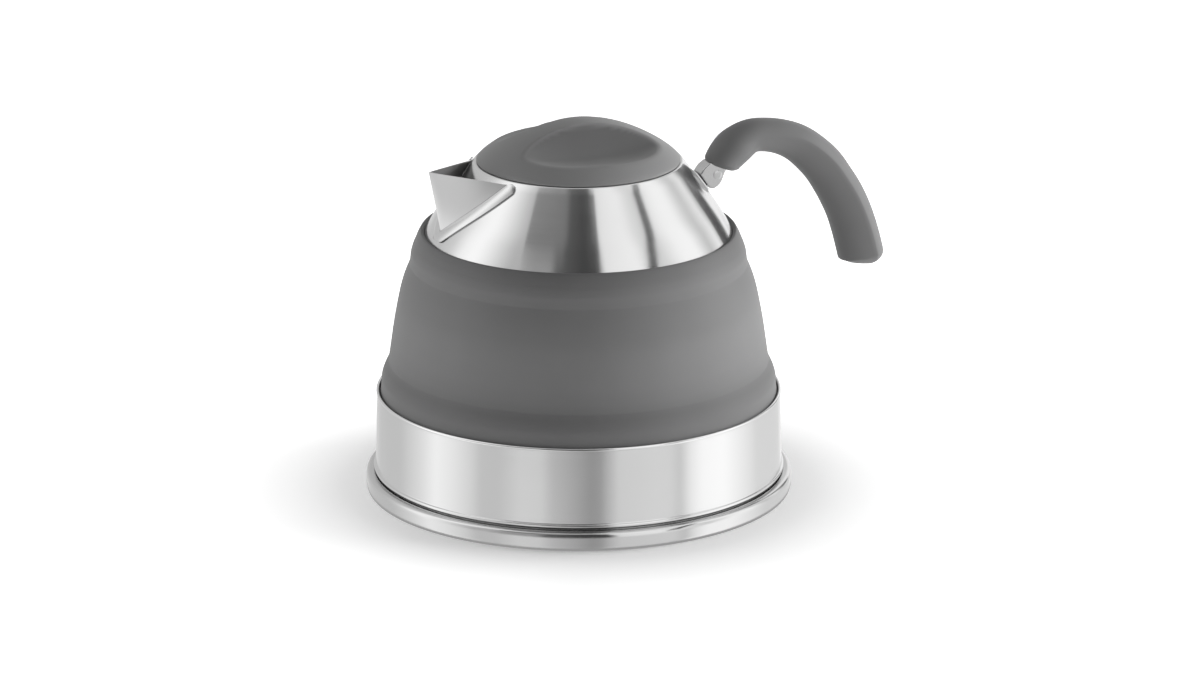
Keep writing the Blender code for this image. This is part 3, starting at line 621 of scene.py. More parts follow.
@dataclass(frozen=True)
class Sleeve:
    """The one silicone moulding between the cup and the shoulder, with its two soft creases."""

    finishes: Finishes
    wall: float = 2.2 * MM
    thinning: float = 0.7 * MM
    crease_half: float = 2.4 * MM
    low_crease: float = 58.9 * MM
    high_crease: float = 103.3 * MM
    steps: int = 5
    # Painted shading by height in millimetres, as a share of the colour: shade at the creases, light between.
    painted_shading_levels: tuple[Point, ...] = (
        (44, 0.95), (50, 0.92), (54, 0.86), (56.5, 0.83), (59, 0.9), (63, 1.02), (70, 1.13), (79, 1.17),
        (84, 1.15), (90, 1.06), (100, 1.03), (108, 1.02), (111, 0.95), (114, 0.84), (117, 0.8), (118.5, 0.72))
    collar: tuple[Point, ...] = (
        (88.8, 36.1), (88.8, 42.5), (88.1, 45.4), (87.8, 48.5), (87.6, 51.4), (86.9, 53.8), (86.0, 55.9),
        (84.5, 58.9))
    side: tuple[Point, ...] = (
        (84.5, 58.9), (83.9, 62.8), (83.3, 67.1), (82.3, 74.0), (81.1, 81.1), (79.3, 90.1), (77.9, 95.4),
        (76.5, 99.3), (74.8, 103.3))
    neck: tuple[Point, ...] = (
        (74.8, 103.3), (74.4, 106.2), (74.1, 108.6), (73.2, 111.4), (72.4, 113.2), (71.4, 115.7),
        (70.15, 118.0))
    hook: tuple[Point, ...] = (
        (69.7, 118.5, 0.3), (69.0, 118.3, 0.3), (68.2, 117.4), (69.85, 113.5), (71.35, 106.3), (68.5, 106.2),
        (68.5, 103.45))

    def build(self) -> None:
        """Makes the moulding between the base and the shoulder."""
        outer = self._outer()
        outline = [*outer, *metres(*self.hook), *reversed(self._inner(outer))]
        made = even(piece("silicone_sleeve", lathe(outline, closed=True), self.finishes.sleeve))
        # Painted shading by height: shade at the creases and near the top edge, light between them.
        with_painted_shading(made, lambda place: self._painted_shading_at(place.z / MM))
        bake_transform(made)
        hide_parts("sleeve_lower_collar", "sleeve_wall", "sleeve_upper_collar")
        log.info("made %s across the collapse", made.name)

    def _painted_shading_at(self, height: float) -> float:
        """Paints shade on the silicone at the creases and near its top edge, and paints light between them.

        Args:
            height: In millimetres.

        Returns:
            The share of the plain colour.
        """
        for (low, dark), (high, light) in zip(self.painted_shading_levels, self.painted_shading_levels[1:]):
            if height <= high:
                return dark + (light - dark) * max(height - low, 0) / (high - low)
        return self.painted_shading_levels[-1][1]

    def _outer(self) -> list[Point]:
        """The outer line from the foot to the top edge, in metres."""
        stretches = [flow(stretch, self.steps)[:-1] for stretch in (self.collar, self.side, self.neck)]
        return metres(*sum(stretches, []), self.neck[-1])

    def _inner(self, outer: list[Point]) -> list[Point]:
        """The inner line below the hook under the skirt, a wall's thickness in.

        Args:
            outer: The outer line in metres.

        Returns:
            The inner line in metres.
        """
        line: list[Point] = []
        last = len(outer) - 1
        for index, (radius, height) in enumerate(outer):
            if height > self.high_crease + MERGE:
                break
            ahead, behind = outer[min(index + 1, last)], outer[max(index - 1, 0)]
            along = Vector((ahead[0] - behind[0], ahead[1] - behind[1])).normalized()
            near = min(abs(height - self.low_crease), abs(height - self.high_crease)) / self.crease_half
            wall = self.wall - self.thinning * math.exp(-near ** 2)
            line.append((radius - along.y * wall, height + along.x * wall))
        return line


@dataclass(frozen=True)
class Shoulder:
    """The steel cone with its rolled neck rim and strainer, and the ring inside its skirt."""

    finishes: Finishes
    sheet: float = 0.6 * MM
    hole: float = 3.4 * MM
    pitch: float = 5.4 * MM
    rows: int = 4
    lowest_hole: float = 132.0 * MM
    punch_reach: float = 3.0 * MM
    steps: int = 5
    slope_half: float = 3.4 * MM
    cone: tuple[Point, ...] = ((47.6, 147.9), (54.4, 138.6), (60.91, 129.6), (64.71, 123.5), (67.71, 118.0),
                               (69.67, 113.5), (71.2, 106.5))

    def line(self) -> list[Point]:
        """The cone's outer line from the neck down, in metres."""
        return metres(*flow(self.cone, self.steps))

    def radius(self, height: float) -> float:
        """Measures the cone.

        Args:
            height: Where, in metres.

        Returns:
            Its outer radius there.
        """
        line = self.line()
        for (r_high, z_high), (r_low, z_low) in zip(line, line[1:]):
            if height >= z_low:
                return r_low + (r_high - r_low) * (height - z_low) / (z_high - z_low)
        return line[-1][0]

    def slope(self, height: float) -> Vector:
        """Unit direction up the cone's surface, as (outwards, upwards)."""
        half = self.slope_half
        return Vector((self.radius(height + half) - self.radius(height - half), 2 * half)).normalized()

    def point(self, turn: float, height: float, lift: float, side: float = -1.0) -> Vector:
        """A point above the cone.

        Args:
            turn: Angle from the kettle's middle plane.
            height: Height on the cone.
            lift: Distance off its surface.
            side: -1 on the spout's side, 1 on the handle's.

        Returns:
            The point.
        """
        slope = self.slope(height)
        outward = Vector((side * math.cos(turn), math.sin(turn), 0))
        normal = outward * slope.y - Vector((0, 0, slope.x))
        return outward * self.radius(height) + Vector((0, 0, height)) + normal * lift

    def build(self) -> None:
        """Makes and settles the cone and its ring."""
        steel = self.finishes.body
        shape = lathe([*metres((43.7, 140.8), (43.7, 149.9, 0.5), (45.9, 149.9, 0.35)), *self.line()])
        cone = sheet_wall(piece("steel_cone", shape, steel), self.sheet)
        self._strain(cone)
        settle(cone, Body.SHOULDER, Slot.STEEL, "shoulder_cone")
        ring = turned("skirt_band", steel, (68.2, 114.0), (68.2, 103.15, 0.7), (71.6, 103.15))
        settle(sheet_wall(ring, self.sheet), Body.SHOULDER, Slot.STEEL, "upper_clamp_ring")

    def _strain(self, cone: Object) -> None:
        """Punches the strainer, a triangle of holes behind the spout.

        Args:
            cone: The cone.
        """
        shape = bmesh.new()
        row_rise = self.pitch * math.sin(math.radians(60)) * self.slope(self.lowest_hole).y
        for row in range(self.rows):
            height = self.lowest_hole + row * row_rise
            for place in range(row + 1):
                turn = (place - row / 2) * self.pitch / self.radius(height)
                low, high = (self.point(turn, height, lift) for lift in (-self.punch_reach, self.punch_reach))
                aim = (high - low).to_track_quat("Z", "Y").to_matrix().to_4x4()
                bmesh.ops.create_cone(shape, cap_ends=True, segments=20, radius1=self.hole / 2,
                                      radius2=self.hole / 2, depth=(high - low).length,
                                      matrix=Matrix.Translation((low + high) / 2) @ aim)
        cutter = piece("strainer_punch", shape, self.finishes.body)
        punch = cone.modifiers.new("strainer", "BOOLEAN")
        punch.operation = "DIFFERENCE"
        punch.solver = "EXACT"
        punch.object = cutter
        apply_modifiers(cone)
        bpy.data.objects.remove(cutter, do_unlink=True)


@dataclass(frozen=True)
class Spout:
    """Two satin plates folded to a V, with a flange that is pressed round and lies on the cone."""

    finishes: Finishes
    shoulder: Shoulder
    sheet: float = 0.6 * MM
    edge: float = 0.22 * MM
    gap: float = 0.15 * MM
    keel_height: float = 124.0 * MM
    mouth_height: float = 148.3 * MM
    tip: Point = (-71.2 * MM, 0.0, 151.6 * MM)
    half_angle: float = math.radians(27.2)
    flange: float = 5.9 * MM
    flange_end: float = 4.6 * MM
    slant: float = math.radians(41)
    top_slant: float = math.radians(-14)
    top_narrowing: float = 0.42
    dome: float = 0.45 * MM
    dome_stretch: float = 1.05
    dome_power: float = 0.6
    end_share: float = 0.2
    fold: float = 0.8 * MM
    fold_reach: float = 0.16
    plate_columns: int = 8
    plate_spacing: float = 1.6
    flange_columns: int = 8
    flange_spacing: float = 1.3
    rows: int = 46

    def build(self) -> None:
        """Makes and settles the spout."""
        shape = bmesh.new()
        columns = self.plate_columns + self.flange_columns
        bmesh.ops.create_grid(shape, x_segments=columns, y_segments=self.rows, size=0.5)
        for face in shape.faces:
            beyond = (face.calc_center_median().x + 0.5) * columns - self.plate_columns
            face.material_index = 2 if beyond > 1 else int(beyond > 0)
        for vert in shape.verts:
            vert.co = self._surface(round((vert.co.x + 0.5) * columns), vert.co.y + 0.5)
        tidy(shape)
        half = [*shape.verts, *shape.edges, *shape.faces]
        bmesh.ops.mirror(shape, geom=half, axis="Y", merge_dist=10 * MERGE)
        tidy(shape)
        face_towards(shape, min(shape.faces, key=lambda face: face.calc_center_median().z), (-1, 0, 0))
        spout = piece("spout_fold", shape, self.finishes.plate)
        spout.data.materials.append(self.finishes.inside)
        spout.data.materials.append(self.finishes.flange)
        sheet_wall(spout, self.sheet, self.edge)
        # The wall's inner side takes the darker steel: a duller finish with painted shade.
        spout.modifiers["wall"].material_offset = 1
        settle(spout, Body.SHOULDER, Slot.SPOUT, "spout")

    def _surface(self, column: int, along: float) -> Vector:
        """A point of one half.

        Args:
            column: Counted from the keel to the flange's edge.
            along: From 0 at the low end to 1 at the mouth.

        Returns:
            The point.
        """
        lift = self.gap + self.sheet
        share = min(max((along - self.end_share) / (1 - 2 * self.end_share), 0), 1)
        turn = self.half_angle * share
        height = self.keel_height + (self.mouth_height - self.keel_height) * share
        if column <= self.plate_columns:
            keel = self.shoulder.point(0, self.keel_height, lift).lerp(Vector(self.tip), share)
            reach = (column / self.plate_columns) ** self.plate_spacing
            place = keel.lerp(self.shoulder.point(turn, height, lift), reach)
            place.x += self.fold * share * max(1 - reach / self.fold_reach, 0) ** 2
            return place
        across = ((column - self.plate_columns) / self.flange_columns) ** self.flange_spacing
        low_end = min(along / self.end_share, 1)
        top_end = max((along - 1) / self.end_share + 1, 0)
        slant = math.pi / 2 + (self.slant - math.pi / 2) * low_end + (self.top_slant - self.slant) * top_end
        width = self.flange_end + (self.flange - self.flange_end) * low_end
        width *= across * (1 - self.top_narrowing * top_end ** 2)
        dome = self.dome * math.sin(math.pi * min(across * self.dome_stretch, 1)) ** self.dome_power
        turn += width * math.cos(slant) / self.shoulder.radius(height)
        height -= width * math.sin(slant) * self.shoulder.slope(height).y
        place = self.shoulder.point(turn, height, lift + dome)
        if along == 0:
            place.y = 0
        return place


@dataclass(frozen=True)
class Handle:
    """The bracket on the cone, its rivet and the arched silicone grip.

    A side of the grip's section is the narrowing towards its ridge, the power of its curve, what the
    ridge adds to that, the root, and what the ridge takes from it.
    """

    finishes: Finishes
    shoulder: Shoulder
    foot_sheet: float = 0.7 * MM
    foot_edge: float = 0.25 * MM
    foot_gap: float = 0.15 * MM
    foot_low: float = 131.3 * MM
    foot_high: float = 139.4 * MM
    foot_angle: float = math.radians(12)
    foot_cells: int = 12
    knuckle_half: float = 4.2 * MM
    knuckle_edge: float = 1.6 * MM
    knuckle: tuple[Point, ...] = ((61.1, 131.7), (56.7, 138.3), (58.6, 141.0), (61.8, 143.2), (69.4, 140.3),
                                  (66.6, 133.0), (63.4, 130.9))
    knuckle_rounding: Point = (0, 0, 1.0, 0.8, 0.6, 1.8, 1.2)
    neck_half: float = 3.4 * MM
    neck: tuple[Point, ...] = ((59.2, 132.3), (55.6, 137.4), (58.5, 139.4), (62.4, 134.1))
    rivet: Point = (65.0, 137.4)
    rivet_radius: float = 2.1 * MM
    rivet_dome: float = 0.35 * MM
    rivet_top_share: float = 0.6
    rivet_round_share: float = 0.3
    rivet_sink: float = 1.0 * MM
    grip: tuple[Point, ...] = (
        (67.7, 140.2, 7.5), (70.4, 144.4, 8.0), (74.8, 148.6, 8.3), (82.0, 152.4, 7.5), (90.0, 152.3, 7.5),
        (98.0, 150.3, 7.95), (105.5, 146.7, 8.6), (112.0, 141.5, 9.1), (117.8, 135.5, 9.45),
        (122.5, 128.6, 9.6), (126.7, 121.6, 9.85), (130.3, 114.1, 9.95), (133.0, 106.6, 10.1),
        (135.3, 98.7, 10.2), (138.2, 87.2, 10.2))
    grip_steps: int = 6
    width_ratio: float = 1.15
    ring_points: int = 56
    ring_step: float = 1.5 * MM
    mouth_round: float = 2.0 * MM
    mouth_closing: float = 0.6
    mouth_shares: Point = (0, 0.08, 0.25, 0.5, 0.75)
    mouth_turn: float = math.radians(11)
    mouth_reach: float = 7.0 * MM
    end_round: float = 6.0 * MM
    end_closing: float = 0.88
    end_shares: Point = (0.85, 0.7, 0.55, 0.4, 0.27, 0.16, 0.08, 0.02, 0)
    end_lean: float = 2.6 * MM
    socket_wall: float = 2.0 * MM
    socket_edge: float = 0.3 * MM
    socket_depth: float = 2.5 * MM
    ridge: float = 0.35
    ridge_start: float = 18.0 * MM
    ridge_end: float = 45.0 * MM
    outer_side: Point = (0.2, 2.0, 0.3, 0.48, 0.0)
    inner_side: Point = (0.26, 2.3, 0.7, 0.48, 0.06)

    def build(self) -> None:
        """Makes and settles every piece of the handle."""
        settle(self._foot(), Body.SHOULDER, Slot.SPOUT, "handle_bracket")
        block = self._block(self.knuckle, self.knuckle_half, self.knuckle_rounding)
        knuckle = soften(piece("bracket_knuckle", block, self.finishes.cast), self.knuckle_edge, segments=5)
        settle(even(knuckle), Body.SHOULDER, Slot.SPOUT)
        neck = piece("bracket_neck", self._block(self.neck, self.neck_half), self.finishes.nylon)
        settle(neck, Body.SHOULDER, Slot.SPOUT)
        settle(self._rivet(), Body.SHOULDER, Slot.SPOUT, "handle_rivet")
        settle(self._grip(), Body.SHOULDER, Slot.GRIP, "handle_grip")

    def _foot(self) -> Object:
        """Makes the foot that lies on the cone.

        Returns:
            The plate.
        """
        shape = bmesh.new()
        bmesh.ops.create_grid(shape, x_segments=self.foot_cells, y_segments=self.foot_cells, size=0.5)
        for vert in shape.verts:
            turn = self.foot_angle * vert.co.x
            height = self.foot_low + (self.foot_high - self.foot_low) * (vert.co.y + 0.5)
            vert.co = self.shoulder.point(turn, height, self.foot_gap + self.foot_sheet, side=1.0)
        tidy(shape)
        face_towards(shape, next(iter(shape.faces)), (1, 0, 0))
        return sheet_wall(piece("bracket_foot", shape, self.finishes.bead), self.foot_sheet, self.foot_edge)

    def _block(self, outline: Sequence[Point], half: float, rounding: Sequence[float] = ()) -> BMesh:
        """A block across the middle plane.

        Args:
            outline: Its side view in millimetres.
            half: Half its width.
            rounding: Reach of each corner's rounding in millimetres.

        Returns:
            The block.
        """
        shape = bmesh.new()
        verts = [shape.verts.new((x, -half, z)) for x, z in metres(*outline)]
        shape.faces.new(verts)
        round_off(shape, verts, [reach * MM for reach in rounding])
        made = bmesh.ops.extrude_face_region(shape, geom=shape.faces[:])
        far = [item for item in made["geom"] if isinstance(item, BMVert)]
        bmesh.ops.translate(shape, verts=far, vec=(0, 2 * half, 0))
        return tidy(shape)

    def _rivet(self) -> Object:
        """Makes the rivet across the knuckle.

        Returns:
            The rivet.
        """
        face, top, radius = self.knuckle_half, self.knuckle_half + self.rivet_dome, self.rivet_radius
        head = [(0, top), (radius * self.rivet_top_share, top, radius * self.rivet_round_share),
                (radius, face + self.rivet_dome / 3), (radius, face - self.rivet_sink)]
        shape = lathe([*head, *((r, -z, *reach) for r, z, *reach in reversed(head))], steps=48)
        aside = Matrix.Rotation(math.pi / 2, 3, "X")
        bmesh.ops.rotate(shape, verts=shape.verts, cent=(0, 0, 0), matrix=aside)
        bmesh.ops.translate(shape, verts=shape.verts, vec=(self.rivet[0] * MM, 0, self.rivet[1] * MM))
        return even(piece("bracket_rivet", shape, self.finishes.cast))

    def _stations(self) -> list[tuple[Point, float]]:
        """Places the grip's rings, closer at its ends.

        Returns:
            Centre line points with their distance from the mouth.
        """
        line = metres(*flow(self.grip, self.grip_steps))
        travel = [0.0]
        for before, after in zip(line, line[1:]):
            travel.append(travel[-1] + math.dist(before[:2], after[:2]))
        total = travel[-1]
        middle = total - self.mouth_round - self.end_round
        count = int(middle / self.ring_step)
        marks = [*(self.mouth_round * share for share in self.mouth_shares),
                 *(self.mouth_round + middle * step / count for step in range(count + 1)),
                 *(total - self.end_round * share for share in self.end_shares)]
        found: list[tuple[Point, float]] = []
        for mark in marks:
            index = next((i for i in range(1, len(travel)) if travel[i] >= mark), len(travel) - 1)
            t = (mark - travel[index - 1]) / (travel[index] - travel[index - 1])
            found.append((tuple(a + (b - a) * t for a, b in zip(line[index - 1], line[index])), mark))
        return found

    def _section(self, angle: float, crisp: float) -> tuple[float, float]:
        """The grip's section, from a plain oval to one with a soft ridge along each side.

        Args:
            angle: Round the section, from its outward side.
            crisp: 0 for the oval, 1 for the full ridge.

        Returns:
            Shares of the half thickness outwards and of the half width sideways.
        """
        outward, aside = math.cos(angle), math.copysign(1, math.sin(angle))
        reach = abs(outward)
        taper, power, more, root, less = self.outer_side if outward >= 0 else self.inner_side
        wide = max(1 - reach ** (power + more * crisp), 0) ** (root - less * crisp)
        return outward + self.ridge * crisp * (1 - reach), aside * wide * (1 - taper * crisp * reach)

    def _grip(self) -> Object:
        """Joins rings along the grip's centre line to a skin and sinks a socket in its mouth.

        Returns:
            The grip.
        """
        found = self._stations()
        total = found[-1][1]
        shape = bmesh.new()
        rings = []
        for index, ((x, z, half), mark) in enumerate(found):
            ahead, behind = found[min(index + 1, len(found) - 1)][0], found[max(index - 1, 0)][0]
            turn = self.mouth_turn * max(1 - mark / self.mouth_reach, 0)
            ahead_way = Vector((ahead[0] - behind[0], ahead[1] - behind[1])).normalized()
            along = Matrix.Rotation(turn, 2) @ ahead_way
            near_mouth = max(1 - mark / self.mouth_round, 0)
            near_end = max(1 - (total - mark) / self.end_round, 0)
            for closing in (self.mouth_closing * near_mouth, self.end_closing * near_end):
                half *= math.sqrt(1 - closing ** 2)
            t = min(max((mark - self.ridge_start) / (self.ridge_end - self.ridge_start), 0), 1)
            crisp = t * t * (3 - 2 * t)
            ring = bmesh.ops.create_circle(shape, segments=self.ring_points, radius=1.0)["verts"]
            for vert in ring:
                outward, aside = self._section(math.atan2(vert.co.y, vert.co.x), crisp)
                back = self.end_lean * min(near_end * 2, 1) * (1 - outward) / 2
                vert.co = (x - along.y * outward * half - along.x * back, aside * half * self.width_ratio,
                           z + along.x * outward * half - along.y * back)
            rings.append(list({edge for vert in ring for edge in vert.link_edges}))
        for low, high in zip(rings, rings[1:]):
            bmesh.ops.bridge_loops(shape, edges=[*low, *high])
        filled = bmesh.ops.holes_fill(shape, edges=[*rings[0], *rings[-1]])["faces"]
        mouth = [min(filled, key=lambda face: face.calc_center_median().x)]
        bmesh.ops.inset_region(shape, faces=mouth, thickness=self.socket_wall)
        bmesh.ops.inset_region(shape, faces=mouth, thickness=self.socket_edge, depth=-self.socket_depth)
        tidy(shape)
        return even(piece("grip_arch", shape, self.finishes.grip))


@dataclass(frozen=True)
class Lid:
    """The silicone cover with its two finger scoops, over the steel plug, seal and screw."""

    finishes: Finishes
    radius: float = 45.0 * MM
    edge: float = 150.0 * MM
    band: float = 0.6 * MM
    rise: float = 17.9 * MM
    power: float = 1.8
    roundness: float = 0.85
    scoop_offset: float = 20.9 * MM
    scoop_floor: float = 4.0 * MM
    scoop_reach: float = 38.1 * MM
    end_rise: float = 5.0 * MM
    end_power: float = 2.57
    ridge_reach: float = 14.4 * MM
    ridge_rise: float = 13.0 * MM
    ridge_power: float = 3.46
    lip_reach: float = 15.6 * MM
    lip_rise: float = 2.5 * MM
    lip_power: float = 1.8
    softness: float = 1.5 * MM
    # Painted shade on the ridge's walls in the scoops, as the share taken off the colour.
    wall_shade: float = 0.5
    cells: int = 120
    skirt: tuple[Point, ...] = ((0, 0.35), (0.1, 0.1), (0.35, 0), (3.2, 0))
    pan_wall: float = 0.6 * MM

    def build(self) -> None:
        """Makes and settles every piece of the lid."""
        settle(self._cover(), Body.LID, Slot.GRIP, "lid_cover")
        pan = turned("plug_pan", self.finishes.body, (42.9, 149.3, 0.3), (42.9, 147.8, 0.5),
                     (41.6, 147.4, 0.3), (41.6, 144.6, 0.3), (42.9, 144.2, 0.5), (42.9, 138.3, 2.2),
                     (2.3, 138.3))
        settle(sheet_wall(pan, self.pan_wall), Body.LID, Slot.STEEL, "lid_pan")
        seal = turned("plug_seal", self.finishes.grip, (41.9, 147.2, 0.2), (43.4, 147.2, 0.7),
                      (43.1, 146.0, 0.3), (43.4, 144.8, 0.7), (41.9, 144.8, 0.2), closed=True)
        settle(even(seal), Body.LID, Slot.GRIP, "lid_seal")
        screw = turned("plug_screw", self.finishes.plate, (0, 146.3), (2, 146.3, 0.4), (2, 138.0),
                       (4, 138.0, 0.2), (3.9, 137.0, 0.6), (2.4, 136.1, 0.6), (1.5, 136.1, 0.1),
                       (1.4, 137.2, 0.1), (0, 137.2), steps=48)
        settle(even(screw), Body.LID, Slot.SPOUT, "lid_screw")

    def _dome(self, x: float, y: float) -> float:
        """The plain dome's height above its edge."""
        return self.rise * (1 - min(math.hypot(x, y) / self.radius, 1) ** self.power) ** self.roundness

    def _height(self, x: float, y: float) -> float:
        """Presses both scoops into the dome.

        Args:
            x: Along the lid's ridge.
            y: Across it.

        Returns:
            The cover's height above its edge.
        """
        dome = self._dome(x, y)
        aside = abs(y) - self.scoop_offset
        scoop = self.scoop_floor + self.end_rise * (abs(x) / self.scoop_reach) ** self.end_power
        if aside < 0:
            scoop += self.ridge_rise * (-aside / self.ridge_reach) ** self.ridge_power
        else:
            scoop += self.lip_rise * (aside / self.lip_reach) ** self.lip_power
        soft = max(self.softness - abs(dome - scoop), 0) / self.softness * min(1, dome / self.softness)
        return min(dome, scoop) - soft ** 2 * self.softness / 4

    def _cover(self) -> Object:
        """Presses a round sheet to the cover's shape and turns a thin wall in below.

        Returns:
            The cover.
        """
        shape = bmesh.new()
        bmesh.ops.create_grid(shape, x_segments=self.cells, y_segments=self.cells, size=1)
        for vert in shape.verts:
            u, v = vert.co.x, vert.co.y
            x, y = self.radius * u * math.sqrt(1 - v * v / 2), self.radius * v * math.sqrt(1 - u * u / 2)
            vert.co = (x, y, self.edge + self.band + self._height(x, y))
        for inset, height in metres(*self.skirt):
            rim = [edge for edge in shape.edges if edge.is_boundary]
            made = bmesh.ops.extrude_edge_only(shape, edges=rim)["geom"]
            for vert in (item for item in made if isinstance(item, BMVert)):
                outward = vert.co.xy.normalized()
                vert.co = (*(outward * (self.radius - inset)), self.edge + height)
        tidy(shape)
        face_towards(shape, max(shape.faces, key=lambda face: face.calc_center_median().z), (0, 0, 1))
        # The cover carries painted shade on the ridge's walls in its scoops.
        return with_painted_shading(even(piece("lid_dome", shape, self.finishes.lid)), self._painted_shading_at)

    def _painted_shading_at(self, place: Vector) -> float:
        """Paints shade on the ridge's walls in the scoops.

        Args:
            place: A point of the cover.

        Returns:
            The share of the plain colour.
        """
        wall = max(self.scoop_offset - abs(place.y), 0) / self.ridge_reach
        depth = self._dome(place.x, place.y) - self._height(place.x, place.y)
        pressed = min(max(depth / self.softness, 0), 1)
        return 1 - self.wall_shade * pressed * min(wall, 1)


# The studio


@dataclass(frozen=True)
class Studio:
    """A white sweep, two softboxes, and the tent with its flags that polished steel reflects.

    Angles are in degrees from the camera, rightwards. The floor's painted shadow is brightness by distance in
    millimetres, the tent's bands are brightness by angle, and a flag's corners are angle and height.
    """

    azimuth: float = -22.0
    elevation: float = 17.2
    distance: float = 2.667
    lens: float = 180.0
    sensor: float = 36.0
    aim_right: float = 9.5 * MM
    aim_height: float = 67.1 * MM
    ambient_low: float = 0.62
    ambient_high: float = 0.0
    floor_radius: float = 14.0
    floor_glow: float = 0.39
    # Painted shadow: the floor's glow to the camera is lower near the kettle, by distance.
    shade_reach: float = 0.25
    shade: tuple[Point, ...] = (
        (95, 0.18), (105, 0.24), (110, 0.3), (118, 0.38), (128, 0.46), (140, 0.54), (155, 0.64), (175, 0.75),
        (230, 0.85))
    tent_radius: float = 2.0
    tent_peak: float = 1.5
    upper: tuple[Point, ...] = (
        (-125, 0.75), (-112, 0.9), (-100, 1.35), (-88, 1.47), (-80, 1.3), (-61, 0.76), (-55, 0.62),
        (-49, 0.66), (-43, 0.52), (-37, 0.45), (-23, 0.45), (-17, 0.14), (4, 0.07), (16, 0.07), (18.7, 0.5),
        (21, 1.15), (50, 1.32), (60, 1.05), (72, 0.95), (81, 1.2), (88, 1.36), (103, 1.42), (117, 0.75),
        (129, 1.25), (138.5, 0.3), (146, 0.16), (150, 1.2), (166, 1.1), (180, 0.6))
    lower: tuple[Point, ...] = (
        (-168, 0.78), (-150, 0.72), (-118, 0.78), (-98, 1.07), (-86, 1.34), (-74, 1.2), (-62, 0.99),
        (-55, 0.79), (-45, 0.79), (-32, 0.96), (-20, 0.93), (-14, 0.75), (-2, 0.6), (7, 0.46), (12, 0.5),
        (16, 0.7), (22, 0.89), (52, 0.95), (58, 0.78), (64, 1.17), (72, 1.42), (88, 1.45), (100, 1.28),
        (112, 1.1), (118, 0.98), (144, 0.9), (156, 0.86), (168, 1.1), (180, 0.95))
    top_level: float = 0.8
    top_start_share: float = 0.92
    top_end_share: float = 0.99
    flag_share: float = 0.9
    flags: tuple[tuple[str, float, tuple[Point, ...]], ...] = (
        ("flag_low", 0.02, ((45, 10), (54, 10), (65.5, 34), (57, 34))),
        ("flag_high", 0.1, ((57, 34), (65.5, 34), (95, 54), (81, 54))),
        ("flag_left", 0.24, ((-50, 43), (-14, 43), (-10, 62), (-60, 58))),
        ("flag_front", 0.08, ((8, 38), (17.5, 38), (23.5, 62), (8, 62))))
    # Painted shadow at the foot: a dark ring, seen only in reflections.
    contact: tuple[Point, ...] = ((90.0, 0.05), (96.6, 0.05))
    contact_level: float = 0.5
    lamps: tuple[tuple[str, float, float], ...] = (
        ("softbox_right", 95.0, 19.0), ("softbox_left", -105.0, 5.8))
    lamp_distance: float = 1.3
    lamp_height: float = 0.35
    lamp_size: float = 1.0
    lamp_aim: float = 0.09

    def build(self) -> None:
        """Makes the whole studio."""
        self._camera()
        self._world()
        self._floor()
        self._tent("tent_top", self.upper, 1)
        self._tent("tent_bottom", self.lower, -1)
        for flag in self.flags:
            self._flag(*flag)
        # Painted shadow under the foot: a dark ring that only reflections see, so the bead's bottom reflects
        # it.
        contact = self._cloth("contact", self.contact_level).material
        self._reflected(turned("contact_shade", contact, *self.contact))
        for lamp in self.lamps:
            self._softbox(*lamp)
        log.info("made the studio")

    def _way(self, angle: float, height: float = 0.0) -> Vector:
        """The direction from the kettle at an angle and a height, both in degrees."""
        turn, rise = math.radians(self.azimuth + angle), math.radians(height)
        return Vector((math.sin(turn) * math.cos(rise), -math.cos(turn) * math.cos(rise), math.sin(rise)))

    def _camera(self) -> None:
        """The camera at the photograph's angle."""
        back = self._way(0, self.elevation)
        data = bpy.data.cameras.new("camera")
        data.lens = self.lens
        data.sensor_width = self.sensor
        data.clip_start, data.clip_end = 0.1, 60
        camera = add_object("camera", data)
        aim = self._way(90) * self.aim_right + Vector((0, 0, self.aim_height))
        camera.location = aim + back * self.distance
        camera.rotation_euler = back.to_track_quat("Z", "Y").to_euler()
        bpy.context.scene.camera = camera

    def _world(self) -> None:
        """White to the camera and to reflections, and a plain soft light on the object, less from above."""
        world = bpy.data.worlds.new("white_room")
        world.use_nodes = True
        room = Tree(world.node_tree)
        up = room.add("SeparateXYZ", {0: room.add("TexCoord").outputs["Generated"]}).outputs["Z"]
        plain = room.mapped(up, To_Min=self.ambient_low, To_Max=self.ambient_high)
        level = room.add("MapRange", {"Value": room.seen(), "To Min": plain}, To_Max=1.0)
        background = world.node_tree.nodes["Background"]
        background.inputs["Color"].default_value = WHITE
        world.node_tree.links.new(level.outputs["Result"], background.inputs["Strength"])
        bpy.context.scene.world = world

    def _floor(self) -> None:
        """The white floor, which keeps the kettle's soft shadow, with painted shadow round it and painted
        light at the left.
        """
        shape = bmesh.new()
        bmesh.ops.create_circle(shape, cap_ends=True, segments=96, radius=self.floor_radius)
        bench = Bench("white_sweep")
        bench.set(Base_Color=(*grey(0.95), 1), Roughness=0.9, Specular_IOR_Level=0.1, Emission_Color=WHITE)
        # Painted shadow: the floor glows less near the kettle, by distance.
        distance = bench.add("VectorMath", {0: bench.place}, operation="LENGTH").outputs["Value"]
        ramp = bench.add("ValToRGB", {"Fac": bench.math("DIVIDE", distance, self.shade_reach)})
        elements = ramp.color_ramp.elements
        elements[0].color, elements[1].color = ((*grey(self.shade[end][1]), 1) for end in (0, -1))
        for mark, level in self.shade:
            elements.new(mark * MM / self.shade_reach).color = (*grey(level), 1)
